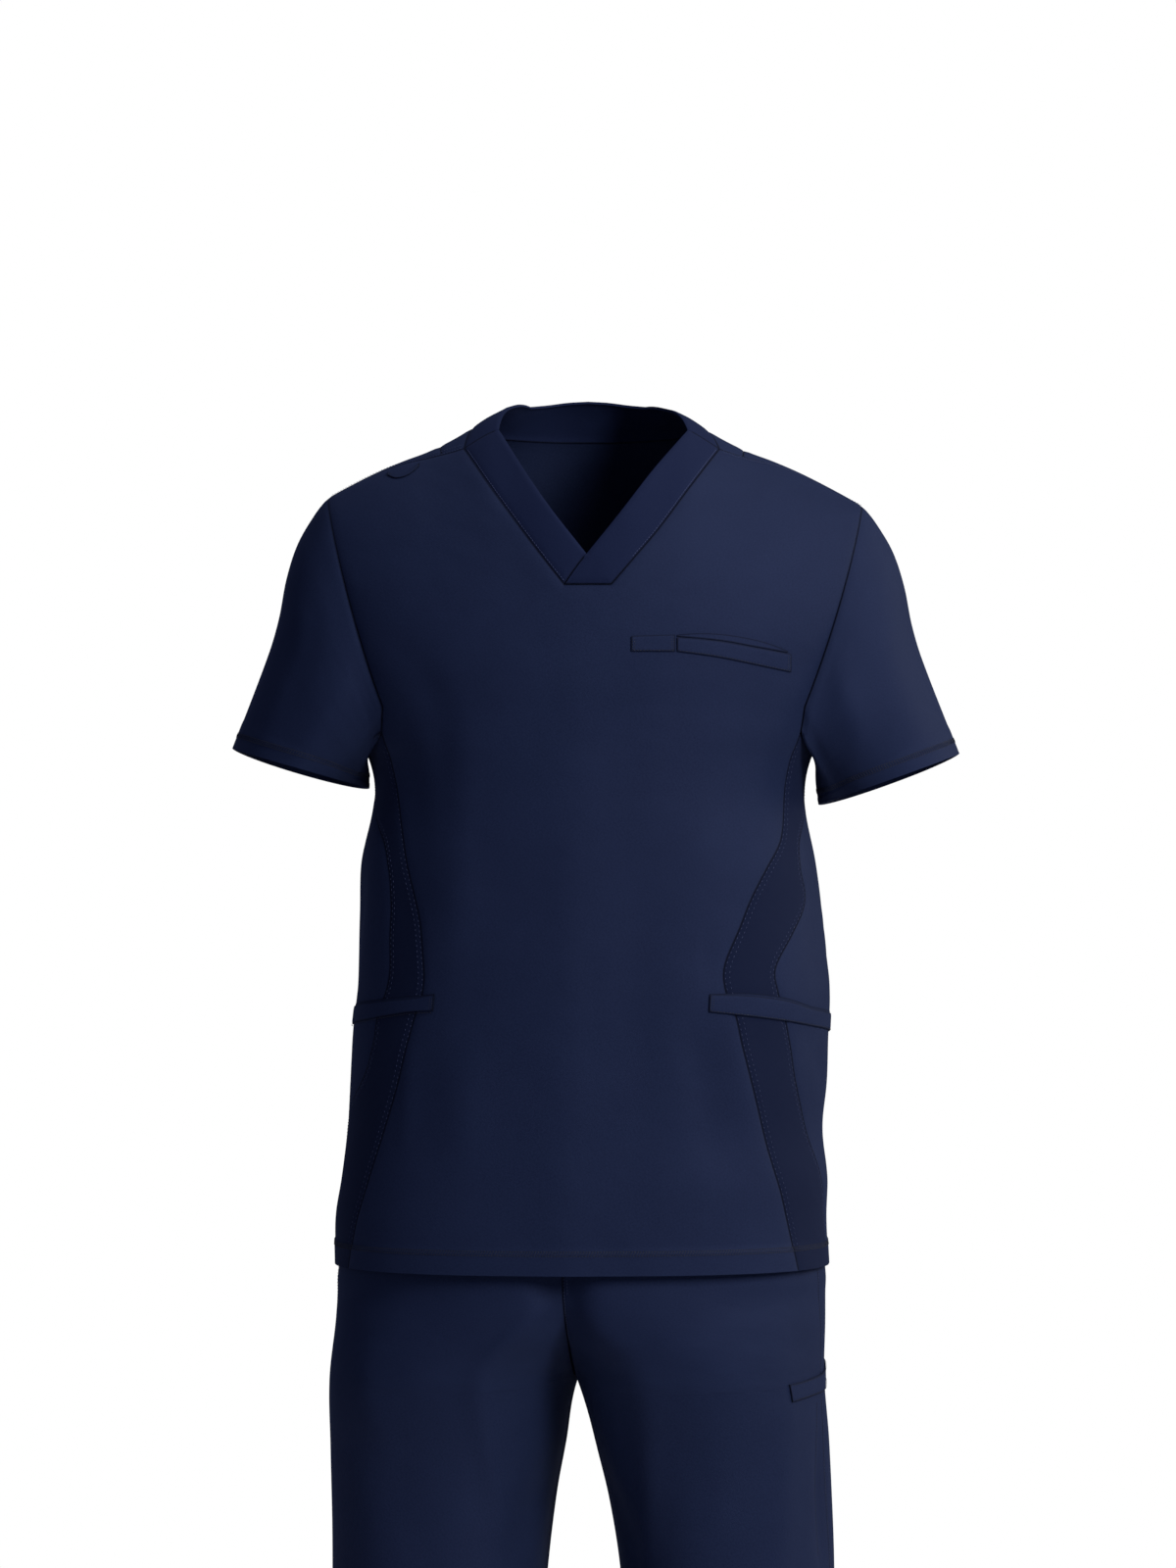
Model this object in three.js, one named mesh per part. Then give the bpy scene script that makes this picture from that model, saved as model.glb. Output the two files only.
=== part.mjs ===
// Medical scrubs: a short-sleeved V-neck top and straight trousers, hollow as when worn.
// Millimetres, +Z up, the front faces -Y. The origin lies between the shoulders, at the height of
// the shoulder's high point beside the neck.
import * as THREE from "three";

// Walls and seams.
const CLOTH = 1.5; // a panel's wall, seam allowances pressed in
const BAND = 2.0; // a folded band: neckband, hip and cargo pocket bands, waistband
const FACING = 1; // the pocket's facing, one layer pressed flat
const LOOP = 1.2; // the badge loop's narrow folded strip
const SEAM_GAP = 0.3; // between two sewn pieces, and under a piece laid on a panel

// The top's length, and the levels where its shape changes.
const HEM = -655;
const UNDERARM = -243; // lowest point of the armhole
const SIDE_TOP = -236; // top corners of the knit side insert
const CHEST = -215; // from here up, front and back part and arch over the shoulder

// Sections of the worn top: mid and half are the section's middle and half width along X, front and
// back its depths, square its superellipse exponent, turn the degrees its centre front is turned to -X.
const SECTIONS = [
  { z: -655, mid: -4.7, half: 195.8, front: 142, back: 128, square: 2.5, turn: 6 },
  { z: -618, mid: -5.5, half: 195.0, front: 141, back: 127, square: 2.5, turn: 6 },
  { z: -587, mid: -2.7, half: 193.0, front: 140, back: 124, square: 2.5, turn: 6 },
  { z: -548, mid: -2.3, half: 188.7, front: 138, back: 118, square: 2.45, turn: 6 },
  { z: -509, mid: 0.7, half: 189.5, front: 137, back: 113, square: 2.4, turn: 6 },
  { z: -477, mid: 2.3, half: 189.5, front: 136, back: 110, square: 2.4, turn: 6.5 },
  { z: -438, mid: 4.7, half: 188.7, front: 135, back: 107, square: 2.4, turn: 6.5 },
  { z: -415, mid: 3.9, half: 187.2, front: 134, back: 107, square: 2.4, turn: 6 },
  { z: -376, mid: 2.3, half: 184.0, front: 132, back: 109, square: 2.4, turn: 3 },
  { z: -337, mid: 0.4, half: 180.6, front: 131, back: 113, square: 2.4, turn: 1.5 },
  { z: -298, mid: 0.8, half: 172.4, front: 130, back: 117, square: 2.35, turn: 1.5 },
  { z: -277, mid: 1.5, half: 171.0, front: 129, back: 119, square: 2.35, turn: 1.5 },
  { z: -256, mid: 1.5, half: 175.5, front: 128.5, back: 120, square: 2.35, turn: 1 },
  { z: -240, mid: 1.5, half: 184.0, front: 128, back: 121, square: 2.35, turn: 0.5 },
  { z: -215, mid: 2.0, half: 194.0, front: 127, back: 122, square: 2.35, turn: 0 },
];
// Height of the shoulder ridge, by distance from the middle.
const RIDGE = [
  { x: 0, z: 66 },
  { x: 15, z: 64.5 },
  { x: 30, z: 56.5 },
  { x: 60, z: 28 },
  { x: 82, z: 15 },
  { x: 104, z: 1 },
  { x: 127, z: -10.5 },
  { x: 147, z: -18 },
  { x: 168, z: -27 },
  { x: 191, z: -38.5 },
  { x: 213, z: -50.5 },
  { x: 240, z: -66 },
];
const RIDGE_Y = 5; // the ridge lies a little behind the middle
const FAN = 0.285; // how much wider the shoulders are than the chest below them
const FAN_EARLY = 0.3; // how much sooner than evenly the cloth widens on its way up
const ARCH_FULL = 0.92; // under 1, the arch over the shoulder is fuller than a quarter ellipse
const SEAM_DIP = 0.03; // levels that the shoulder seam sags towards the ridge between its ends

// Seams of the top, in degrees round it from centre front; left is the wearer's left, +X.
const SIDE_SEAMS = [
  { z: -655, leftFront: 68.3, leftBack: 90, rightFront: 64, rightBack: 98 },
  { z: -618, leftFront: 65.5, leftBack: 85, rightFront: 60.3, rightBack: 94 },
  { z: -582, leftFront: 61.5, leftBack: 80.5, rightFront: 57.5, rightBack: 90 },
  { z: -545, leftFront: 58.5, leftBack: 74, rightFront: 54, rightBack: 82 },
  { z: -509, leftFront: 54.5, leftBack: 68.5, rightFront: 51, rightBack: 66 },
  { z: -480, leftFront: 52, leftBack: 66.5, rightFront: 48.5, rightBack: 60.8 },
  { z: -454, leftFront: 49.6, leftBack: 64, rightFront: 46.6, rightBack: 59.5 },
  { z: -437, leftFront: 46.8, leftBack: 61.8, rightFront: 45.1, rightBack: 57.2 },
  { z: -419, leftFront: 46.3, leftBack: 61.2, rightFront: 45.1, rightBack: 56.4 },
  { z: -391, leftFront: 49, leftBack: 66.5, rightFront: 48.3, rightBack: 59 },
  { z: -365, leftFront: 52.1, leftBack: 72, rightFront: 52.2, rightBack: 60.6 },
  { z: -340, leftFront: 57.3, leftBack: 70.5, rightFront: 55.8, rightBack: 62.6 },
  { z: -318, leftFront: 63.5, leftBack: 73, rightFront: 58.8, rightBack: 67 },
  { z: -296, leftFront: 66.6, leftBack: 84, rightFront: 62, rightBack: 78 },
  { z: -268, leftFront: 67.7, leftBack: 96, rightFront: 65, rightBack: 93 },
  { z: -236, leftFront: 67.5, leftBack: 104, rightFront: 66, rightBack: 104 },
];
const BACK_SEAM = { hem: 146, shoulder: 139.5 }; // degrees of the seam beside the centre back

// Where the neckband is sewn on in front, and its free edge, by height: x on each side.
const NECK_SEAM = [
  { z: -120, right: -18.5, left: 18 },
  { z: -99, right: -35, left: 36 },
  { z: -77, right: -51.5, left: 54.5 },
  { z: -43, right: -76, left: 79.5 },
  { z: -10, right: -98, left: 104 },
];
const NECK_EDGE = [
  { z: -96, right: -1, left: -1 },
  { z: -60, right: -29, left: 27.5 },
  { z: -29, right: -50, left: 51 },
  { z: 5, right: -70.5, left: 79 },
];

// Rows of vertices up the top.
const LEVELS = [
  -655, -640, -618, -590, -562, -535, -508, -482, -462, -446, -430, -412, -390, -365, -340, -315,
  -292, -270, -252, SIDE_TOP,
];

const rad = THREE.MathUtils.degToRad;
const lerp = THREE.MathUtils.lerp;
const clamp = THREE.MathUtils.clamp;
const SIDES = [
  { name: "right", sign: -1 },
  { name: "left", sign: 1 },
];

// The value of one column of a table at a place between its rows, on a smooth curve.
function read(table, by, column, at) {
  const last = table.length - 1;
  const up = table[last][by] > table[0][by];
  let i = 0;
  while (i < last - 1 && (up ? at > table[i + 1][by] : at < table[i + 1][by])) i++;
  const slope = (k) => {
    const a = table[Math.max(k - 1, 0)];
    const b = table[Math.min(k + 1, last)];
    return (b[column] - a[column]) / (b[by] - a[by]);
  };
  const [a, b] = [table[i], table[i + 1]];
  const span = b[by] - a[by];
  const t = clamp((at - a[by]) / span, 0, 1);
  const [t2, t3] = [t * t, t * t * t];
  return (
    a[column] * (2 * t3 - 3 * t2 + 1) +
    slope(i) * span * (t3 - 2 * t2 + t) +
    b[column] * (3 * t2 - 2 * t3) +
    slope(i + 1) * span * (t3 - t2)
  );
}

// A point of a superellipse section, at an angle from its front.
function onSection(degrees, half, front, back, square) {
  const s = Math.sin(rad(degrees));
  const c = Math.cos(rad(degrees));
  const depth = c > 0 ? front : back;
  const r = (Math.abs(s / half) ** square + Math.abs(c / depth) ** square) ** (-1 / square);
  return [r * s, -r * c];
}

function torsoRing(degrees, z) {
  const get = (column) => read(SECTIONS, "z", column, z);
  const [x, y] = onSection(
    degrees - get("turn"), get("half"), get("front"), get("back"), get("square"));
  return [get("mid") + x, y];
}

// The top's outer surface. Levels 0 to 1 run from hem to chest, 1 to 2 from the chest up the arch to
// the shoulder ridge, and past 2 down the other side of it.
const fan = (rise) => 1 + FAN * rise * (1 + FAN_EARLY - FAN_EARLY * rise);
const levelOf = (z) => (z - HEM) / (CHEST - HEM);
const CHEST_RING = SECTIONS.at(-1);
function chestDepth(x, behind) {
  const { mid, half, square } = CHEST_RING;
  const across = clamp(Math.abs((x - mid) / half), 0, 1);
  const depth = behind ? CHEST_RING.back : -CHEST_RING.front;
  return depth * (1 - across ** square) ** (1 / square);
}
// Degrees round the chest section of the place with this x, in front or behind.
function degreesAt(x, behind = false) {
  const angle = THREE.MathUtils.radToDeg(
    Math.atan2(x - CHEST_RING.mid, Math.abs(chestDepth(x, behind))));
  return behind ? (angle < 0 ? -180 : 180) - angle : angle;
}
function onTop(degrees, level) {
  if (level <= 1) {
    const z = lerp(HEM, CHEST, level);
    const [x, y] = torsoRing(degrees, z);
    return new THREE.Vector3(x, y, z);
  }
  const over = level > 2;
  const arch = rad(90 * (over ? 3 - level : level - 1));
  const x0 = torsoRing(degrees, CHEST)[0];
  const behind = Math.abs(degrees) > 90;
  const y0 = chestDepth(x0, over ? !behind : behind);
  const rise = Math.sin(arch);
  const ridge = read(RIDGE, "x", "z", Math.abs(x0 * (1 + FAN)));
  return new THREE.Vector3(
    x0 * fan(rise),
    RIDGE_Y + (y0 - RIDGE_Y) * Math.max(Math.cos(arch), 0) ** ARCH_FULL,
    CHEST + (ridge - CHEST) * rise,
  );
}

// Degrees and level of the place on the front (or back) of the shoulders that has this x and z.
function placeOf(x, z, behind = false) {
  let rise = 0.5;
  for (let i = 0; i < 40; i++) {
    const ridge = read(RIDGE, "x", "z", Math.abs((x / fan(rise)) * (1 + FAN)));
    rise = clamp((z - CHEST) / (ridge - CHEST), 0, 1);
  }
  return { degrees: degreesAt(x / fan(rise), behind), level: 1 + (Math.asin(rise) * 2) / Math.PI };
}
// The same place of the shoulder named from the back, past the ridge.
function fromBehind({ degrees, level }) {
  return { degrees: degreesAt(torsoRing(degrees, CHEST)[0], true), level: 4 - level };
}

const NEAR = { degrees: 0.4, level: 0.002, z: 0.5 }; // how far round a point its slope is measured
function topNormal(degrees, level) {
  const du = onTop(degrees + NEAR.degrees, level).sub(onTop(degrees - NEAR.degrees, level));
  const dv = onTop(degrees, level + NEAR.level).sub(onTop(degrees, level - NEAR.level));
  return du.cross(dv).normalize();
}

// A piece before it has a wall: a grid of points, row by row, with null where the cloth is cut away.
// The winding makes (next column) x (next row) point outwards.
const pieces = [];
function piece(name, rows, { wall = CLOTH, round = false, knit = false, sewn = true } = {}) {
  pieces.push({ name, rows, wall, round, knit, sewn });
}

// The faces of a grid as triangles of point numbers, and its points, with shared places merged. Each
// field of the grid is halved along its shorter diagonal.
function facesOf({ rows, round }) {
  const points = [];
  const index = new Map();
  const number = (p) => {
    const key = p.toArray().map((v) => Math.round(v * 500) || 0).join();
    if (!index.has(key)) {
      index.set(key, points.length);
      points.push(p.clone());
    }
    return index.get(key);
  };
  const faces = [];
  for (let j = 0; j + 1 < rows.length; j++) {
    const n = rows[j].length;
    for (let i = 0; i < (round ? n : n - 1); i++) {
      const k = (i + 1) % n;
      const corners = [rows[j][i], rows[j][k], rows[j + 1][k], rows[j + 1][i]];
      if (corners.some((c) => !c)) continue;
      const [a, b, c, d] = corners.map(number);
      const far = corners[0].distanceTo(corners[2]) > corners[1].distanceTo(corners[3]);
      const halves = far ? [[a, b, d], [b, c, d]] : [[a, b, c], [a, c, d]];
      for (const f of halves) if (new Set(f).size === 3) faces.push(f);
    }
  }
  return { points, faces };
}

const cross = (a, b, c) => b.clone().sub(a).cross(c.clone().sub(a));
function normalsOf({ points, faces }) {
  const normals = points.map(() => new THREE.Vector3());
  for (const f of faces) {
    const n = cross(...f.map((k) => points[k]));
    for (const k of f) normals[k].add(n);
  }
  return normals.map((n) => n.normalize());
}

// Pieces that share a seam share its points. There their walls lean together, as in a mitre.
function mitred(list) {
  const shared = new Map();
  for (const s of list) {
    Object.assign(s, facesOf(s));
    s.normals = normalsOf(s);
    if (!s.sewn) continue;
    s.points.forEach((p, k) => {
      const key = p.toArray().map((v) => Math.round(v * 50) || 0).join();
      if (!shared.has(key)) shared.set(key, []);
      shared.get(key).push([s, k]);
    });
  }
  for (const group of shared.values()) {
    if (group.length < 2) continue;
    const mean = new THREE.Vector3();
    for (const [s, k] of group) mean.add(s.normals[k]);
    mean.normalize();
    const leans = group.map(([s, k]) => clamp(1 / mean.dot(s.normals[k]), 1, 1.6));
    mean.multiplyScalar(leans.reduce((a, b) => a + b) / leans.length);
    for (const [s, k] of group) s.normals[k] = mean.clone();
  }
}

// Gives a piece its wall: the outer points, the inner ones a wall's thickness in, and a rim.
function walled({ points, faces, normals, wall }) {
  const half = new Map();
  for (const [a, b, c] of faces)
    for (const [p, q] of [[a, b], [b, c], [c, a]]) half.set(p + "," + q, [p, q]);
  const rim = [...half.values()].filter(([p, q]) => !half.has(q + "," + p));
  // Each rim edge moves in by half the seam gap.
  const inward = new Map();
  for (const [p, q] of rim) {
    const along = points[q].clone().sub(points[p]);
    const facing = normals[p].clone().add(normals[q]).normalize();
    const way = facing.cross(along).normalize();
    for (const k of [p, q]) inward.set(k, [...(inward.get(k) ?? []), way]);
  }
  const outer = points.map((p, k) => {
    if (!inward.has(k)) return p;
    const [a, b] = inward.get(k);
    const both = a.clone().add(b ?? a);
    return p.clone().addScaledVector(both, SEAM_GAP / 2 / (1 + Math.max(a.dot(b ?? a), -0.4)));
  });
  const inner = outer.map((p, k) => p.clone().addScaledVector(normals[k], -wall));
  const n = points.length;
  const tri = [...faces];
  for (const [a, b, c] of faces) tri.push([a + n, c + n, b + n]);
  // Both pieces at a seam split a leaning rim along the same diagonal.
  const higher = (p, q) => points[p].z + points[p].x / 7 > points[q].z + points[q].x / 7;
  for (const [p, q] of rim)
    if (higher(p, q)) tri.push([q, p, q + n], [p, p + n, q + n]);
    else tri.push([q, p, p + n], [q, p + n, q + n]);
  const g = new THREE.BufferGeometry();
  g.setAttribute("position", new THREE.Float32BufferAttribute(
    [...outer, ...inner].flatMap((p) => p.toArray()), 3));
  g.setIndex(tri.flat());
  g.computeVertexNormals();
  return g;
}

// Front, from the wearer's right to left: columns stay the same from the hem to the neck.
const range = (n, f) => Array.from({ length: n + 1 }, (_, i) => f(i / n, i));
const ARMHOLE = { rightFront: -64, leftFront: 66 }; // degrees of its front edge
const FRONT_COLUMNS = { strap: 6, middle: 3 };
const FRONT_ROWS = { chest: 3, strap: 7 };
const NECK_LEVEL = placeOf(0, NECK_SEAM[0].z).level; // the armhole's level beside the V's foot
const SHOULDER_SEAM = { tip: 1.97, neck: 1.81 }; // levels: the seam lies in front of the ridge

function seamAt(column, z) {
  return (column.startsWith("right") ? -1 : 1) * read(SIDE_SEAMS, "z", column, z);
}
// Levels of the armhole's lower front, from the side insert to beside the V's foot.
const lowerArm = range(FRONT_ROWS.chest, (t) => lerp(1, NECK_LEVEL, t));
const neckSide = (side, t, table) => {
  const [a, b] = [table[0].z, table.at(-1).z];
  const z = lerp(a, b, t);
  return placeOf(read(table, "z", side, z), z);
};
const neckCorner = (side) => neckSide(side, 1, NECK_SEAM);
const tipOf = (s) => (s.sign < 0 ? ARMHOLE.rightFront : ARMHOLE.leftFront);

function split(left, right, v1, v2) {
  const { strap, middle } = FRONT_COLUMNS;
  return [
    ...range(strap, (t) => lerp(left, v1, t)),
    ...range(middle, (t) => lerp(v1, v2, t)).slice(1),
    ...range(strap, (t) => lerp(v2, right, t)).slice(1),
  ];
}
function shoulderPlace(s, t, u) {
  const neck = neckSide(s.name, t, NECK_SEAM);
  const arm = { degrees: tipOf(s), level: lerp(NECK_LEVEL, SHOULDER_SEAM.tip, t) };
  const dip = t * SEAM_DIP * Math.sin(Math.PI * u) ** 2;
  return {
    degrees: lerp(arm.degrees, neck.degrees, u),
    level: lerp(arm.level, neck.level, u) + dip,
  };
}
const at = ({ degrees, level }) => onTop(degrees, level);
const strapSteps = range(FRONT_ROWS.strap, (t) => t);
// One row of the front between armhole and neck, from the armhole in.
const strapRow = (s, t) => range(FRONT_COLUMNS.strap, (u) => shoulderPlace(s, t, u));
// The V's foot is level, from the right neck corner to the left one.
const vFoot = range(FRONT_COLUMNS.middle, (u) => {
  const { z, right, left } = NECK_SEAM[0];
  return placeOf(lerp(right, left, u), z);
});
function topFront() {
  const [v1, v2] = [vFoot[0], vFoot.at(-1)].map((p) => p.degrees);
  const rows = LEVELS.map((z) => split(seamAt("rightFront", z), seamAt("leftFront", z), v1, v2)
    .map((d) => onTop(d, levelOf(z))));
  const [right, left] = SIDES.map((s) => strapRow(s, 0));
  const neckRow = [...right, ...vFoot.slice(1, -1), ...left.reverse()];
  for (const t of range(FRONT_ROWS.chest, (v) => v))
    rows.push(neckRow.map((p) => onTop(p.degrees, lerp(1, p.level, t))));
  for (const t of strapSteps.slice(1)) {
    const [r, l] = SIDES.map((s) => strapRow(s, t).map(at));
    rows.push([...r, ...Array(FRONT_COLUMNS.middle - 1).fill(null), ...l.reverse()]);
  }
  piece("top_front", rows);
}
topFront();

// Back: a centre panel and two side panels, whose seams run up over the shoulders.
const BACK = { side: 5, strap: 1, neck: 4, base: 1.8, chest: 3, top: 5 };
const NECK_BACK = [
  { x: 0, seam: 2, edge: 34 },
  { x: 30, seam: 2, edge: 33 },
  { x: 60, seam: 3, edge: 30.5 },
  { x: 85, seam: 5, edge: 28.5 },
];
const EDGE_SHARE = 0.55; // the band's free edge is this much narrower than its seam behind the neck
const NECK_ROLL = 1.4; // degrees that the free edge lies further out where it crosses the ridge
const neckX = (s) => s.sign * NECK_BACK.at(-1).x;
const neckBehind = (x) => placeOf(x, read(NECK_BACK, "x", "seam", Math.abs(x)), true);
// Columns of the shoulder seam, as both panels see it, from the armhole in.
const shoulderColumns = (s) => strapRow(s, 1).map(fromBehind);
const armBehind = (s) => shoulderColumns(s)[0].degrees;
const backSeam = (s, z) =>
  s.sign * lerp(BACK_SEAM.hem, BACK_SEAM.shoulder, clamp(levelOf(z), 0, 1));
const chestLevels = range(BACK.chest, (t) => lerp(1, BACK.base, t));
function topBackSide(s) {
  const cols = (a, b) => range(BACK.side, (u) => lerp(a, b, u));
  const rows = LEVELS.map((z) => cols(seamAt(s.name + "Back", z), backSeam(s, z))
    .map((d) => onTop(d, levelOf(z))));
  const base = cols(armBehind(s), backSeam(s, CHEST));
  for (const level of chestLevels) rows.push(base.map((d) => onTop(d, level)));
  const end = shoulderColumns(s);
  for (const t of range(BACK.top, (v) => v).slice(1))
    rows.push(base.map((d, i) => onTop(lerp(d, end[i].degrees, t), lerp(BACK.base, end[i].level, t))));
  piece("top_back_" + s.name, s.sign > 0 ? rows : rows.map((r) => r.reverse()));
}
SIDES.forEach(topBackSide);

// Rows of the strap beside the neck, from the base row up: the seam's point, then the neck's.
function neckStrap(s, t) {
  const end = shoulderColumns(s).slice(BACK.side);
  const start = [{ degrees: backSeam(s, CHEST), level: BACK.base }, neckBehind(neckX(s))];
  return start.map((a, i) => ({
    degrees: lerp(a.degrees, end[i].degrees, t),
    level: lerp(a.level, end[i].level, t),
  }));
}
const neckColumns = range(2 * BACK.neck, (t) => lerp(NECK_BACK.at(-1).x, -NECK_BACK.at(-1).x, t));
function topBack() {
  const around = (d) => (d < 0 ? d + 360 : d);
  const columns = neckColumns.map((x) => {
    const p = neckBehind(x);
    return { degrees: x === 0 ? 180 : around(p.degrees), level: p.level };
  });
  const plain = (d) => (d > 180 ? d - 360 : d);
  // share is how far a row is from the chest up to the neck.
  const row = (z, share) => {
    const [r, l] = SIDES.map((s) => ({ degrees: around(backSeam(s, z)), level: BACK.base }));
    return [l, ...columns, r].map(({ degrees, level }) =>
      onTop(plain(degrees), z < CHEST ? levelOf(z) : lerp(1, level, share)));
  };
  const rows = LEVELS.map((z) => row(z, 0));
  for (const t of range(BACK.chest, (v) => v)) rows.push(row(CHEST, t));
  for (const t of range(BACK.top, (v) => v).slice(1)) {
    const [r, l] = SIDES.map((s) => neckStrap(s, t).map(at));
    rows.push([...l, ...Array(2 * BACK.neck - 1).fill(null), ...r.reverse()]);
  }
  piece("top_back", rows);
}
topBack();

// Knit side inserts, from the armhole's bottom to the hem.
const INSERT_COLUMNS = 4;
const insertTop = (s) => range(INSERT_COLUMNS, (u) => [
  lerp(seamAt(s.name + "Front", SIDE_TOP), seamAt(s.name + "Back", SIDE_TOP), u),
  levelOf(SIDE_TOP + (UNDERARM - SIDE_TOP) * Math.sin(Math.PI * u)),
]);
function sideInsert(s) {
  const rows = LEVELS.slice(0, -1).map((z) => range(INSERT_COLUMNS, (u) => onTop(
    lerp(seamAt(s.name + "Front", z), seamAt(s.name + "Back", z), u), levelOf(z))));
  rows.push(insertTop(s).map(([d, level]) => onTop(d, level)));
  piece("side_insert_" + s.name, s.sign > 0 ? rows : rows.map((r) => r.reverse()), { knit: true });
}
SIDES.forEach(sideInsert);

// Sleeves: from the armhole's own points to a tilted oval cuff.
const SLEEVES = [
  { side: "right", outX: -283, outZ: -247, inX: -174.5, inZ: -278, front: 66, back: 68, lower: 6 },
  { side: "left", outX: 295.5, outZ: -251, inX: 184, inZ: -291, front: 66, back: 68, lower: 6 },
];
const SLEEVE_ROWS = 9;
// How far the sleeve stands out past a straight line from armhole to cuff, along its top.
const SLEEVE_CAP = [
  { t: 0, out: 0 },
  { t: 0.06, out: 5 },
  { t: 0.18, out: 10 },
  { t: 0.32, out: 8.5 },
  { t: 0.48, out: 2.5 },
  { t: 0.62, out: 0 },
  { t: 1, out: 0 },
];
const SLEEVE_FULLNESS = { side: 5, under: 3 };
const CAP_NARROW = 1.5; // the cap's width round the sleeve, as a power of the cosine
function armhole(s) {
  const frontArm = [...strapSteps].reverse().map((t) => at(shoulderPlace(s, t, 0)));
  const low = lowerArm.slice(0, -1).reverse().map((level) => onTop(tipOf(s), level));
  const under = insertTop(s).map(([d, level]) => onTop(d, level));
  const chest = chestLevels.map((level) => onTop(armBehind(s), level));
  const end = shoulderColumns(s)[0];
  const up = range(BACK.top, (t) => onTop(end.degrees, lerp(BACK.base, end.level, t)));
  const loop = [...frontArm, ...low, ...under, ...chest, ...up.slice(1, -1)];
  return { loop, bottom: frontArm.length + low.length + INSERT_COLUMNS / 2 };
}
function sleeve(s) {
  const cuff = SLEEVES.find((c) => c.side === s.name);
  const { loop, bottom } = armhole(s);
  const n = loop.length;
  const lengths = loop.map((p, i) => p.distanceTo(loop[(i + 1) % n]));
  const sum = (a, b) => lengths.slice(a, b).reduce((x, y) => x + y, 0);
  const angle = (i) => (i <= bottom
    ? (180 * sum(0, i)) / sum(0, bottom)
    : 180 + (180 * sum(bottom, i)) / sum(bottom, n));
  const mid = { x: (cuff.outX + cuff.inX) / 2, z: (cuff.outZ + cuff.inZ) / 2 };
  const rows = range(SLEEVE_ROWS, (t) => loop.map((p, i) => {
    const c = Math.cos(rad(angle(i)));
    const d = Math.sin(rad(angle(i)));
    const end = new THREE.Vector3(
      lerp(mid.x, cuff.outX, c),
      RIDGE_Y - d * (d > 0 ? cuff.front : cuff.back),
      lerp(mid.z, cuff.outZ, c) - (d < 0 ? -d * cuff.lower : 0),
    );
    const q = p.clone().lerp(end, t);
    q.x += s.sign * read(SLEEVE_CAP, "t", "out", t) * Math.max(c, 0) ** CAP_NARROW;
    q.x -= s.sign * SLEEVE_FULLNESS.under * Math.sin(Math.PI * t) * Math.max(-c, 0) ** 2;
    q.y -= SLEEVE_FULLNESS.side * Math.sin(Math.PI * t) * d;
    return q;
  }));
  piece("sleeve_" + s.name, s.sign > 0 ? rows : rows.map((r) => r.reverse()), { round: true });
}
SIDES.forEach(sleeve);

// Neckband: two front pieces, the left one closing over the V, and one behind the neck.
const BAND_COLUMNS = 2;
const between = (a, b, u) => ({
  degrees: lerp(a.degrees, b.degrees, u),
  level: lerp(a.level, b.level, u),
});
const bandRow = (seam, edge) => range(BAND_COLUMNS, (u) => at(between(seam, edge, u)));
function neckbandFront(s) {
  const rows = strapSteps.map((t) =>
    bandRow(neckSide(s.name, t, NECK_SEAM), neckSide(s.name, t, NECK_EDGE)));
  if (s.name === "left") {
    const point = neckSide("left", 0, NECK_EDGE);
    for (const p of vFoot.slice(0, -1).reverse()) rows.unshift(bandRow(p, point));
  }
  piece("neckband_front_" + s.name, s.sign > 0 ? rows.map((r) => r.reverse()) : rows,
    { wall: BAND, knit: true });
}
SIDES.forEach(neckbandFront);
function neckbandBack() {
  const edgeX = neckX(SIDES[1]) * EDGE_SHARE;
  const half = (s) => range(BACK.top, (t) => {
    if (t === 1) return bandRow(neckCorner(s.name), neckSide(s.name, 1, NECK_EDGE));
    const seam = neckStrap(s, t)[1];
    const start = placeOf(s.sign * edgeX, NECK_BACK.at(-1).edge, true);
    const end = fromBehind(neckSide(s.name, 1, NECK_EDGE));
    const edge = between(start, end, t);
    edge.degrees -= s.sign * NECK_ROLL * Math.sin(Math.PI * t);
    return bandRow(seam, edge);
  });
  const middle = neckColumns.slice(1, -1).map((x) => {
    const edge = placeOf(x * EDGE_SHARE, read(NECK_BACK, "x", "edge", Math.abs(x)), true);
    return bandRow(neckBehind(x), edge);
  });
  const [r, l] = SIDES.map(half);
  piece("neckband_back", [...l.reverse(), ...middle, ...r].map((row) => row.reverse()),
    { wall: BAND, knit: true });
}
neckbandBack();

// Pieces laid on the top: each is a strip between a lower and an upper edge, given along its length.
const laidOn = (p, wall) =>
  at(p).addScaledVector(topNormal(p.degrees, p.level), SEAM_GAP + wall);
const EDGE_ROWS = 2;
function laid(name, table, place, { wall = CLOTH, steps = 12 } = {}) {
  const along = range(steps, (t) => lerp(table[0].at, table.at(-1).at, t));
  const rows = range(EDGE_ROWS, (v) => along.map((a) => {
    const low = place(a, read(table, "at", "low", a));
    const high = place(a, read(table, "at", "high", a));
    return laidOn(between(low, high, v), wall);
  }));
  piece(name, rows, { wall, sewn: false });
}

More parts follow.
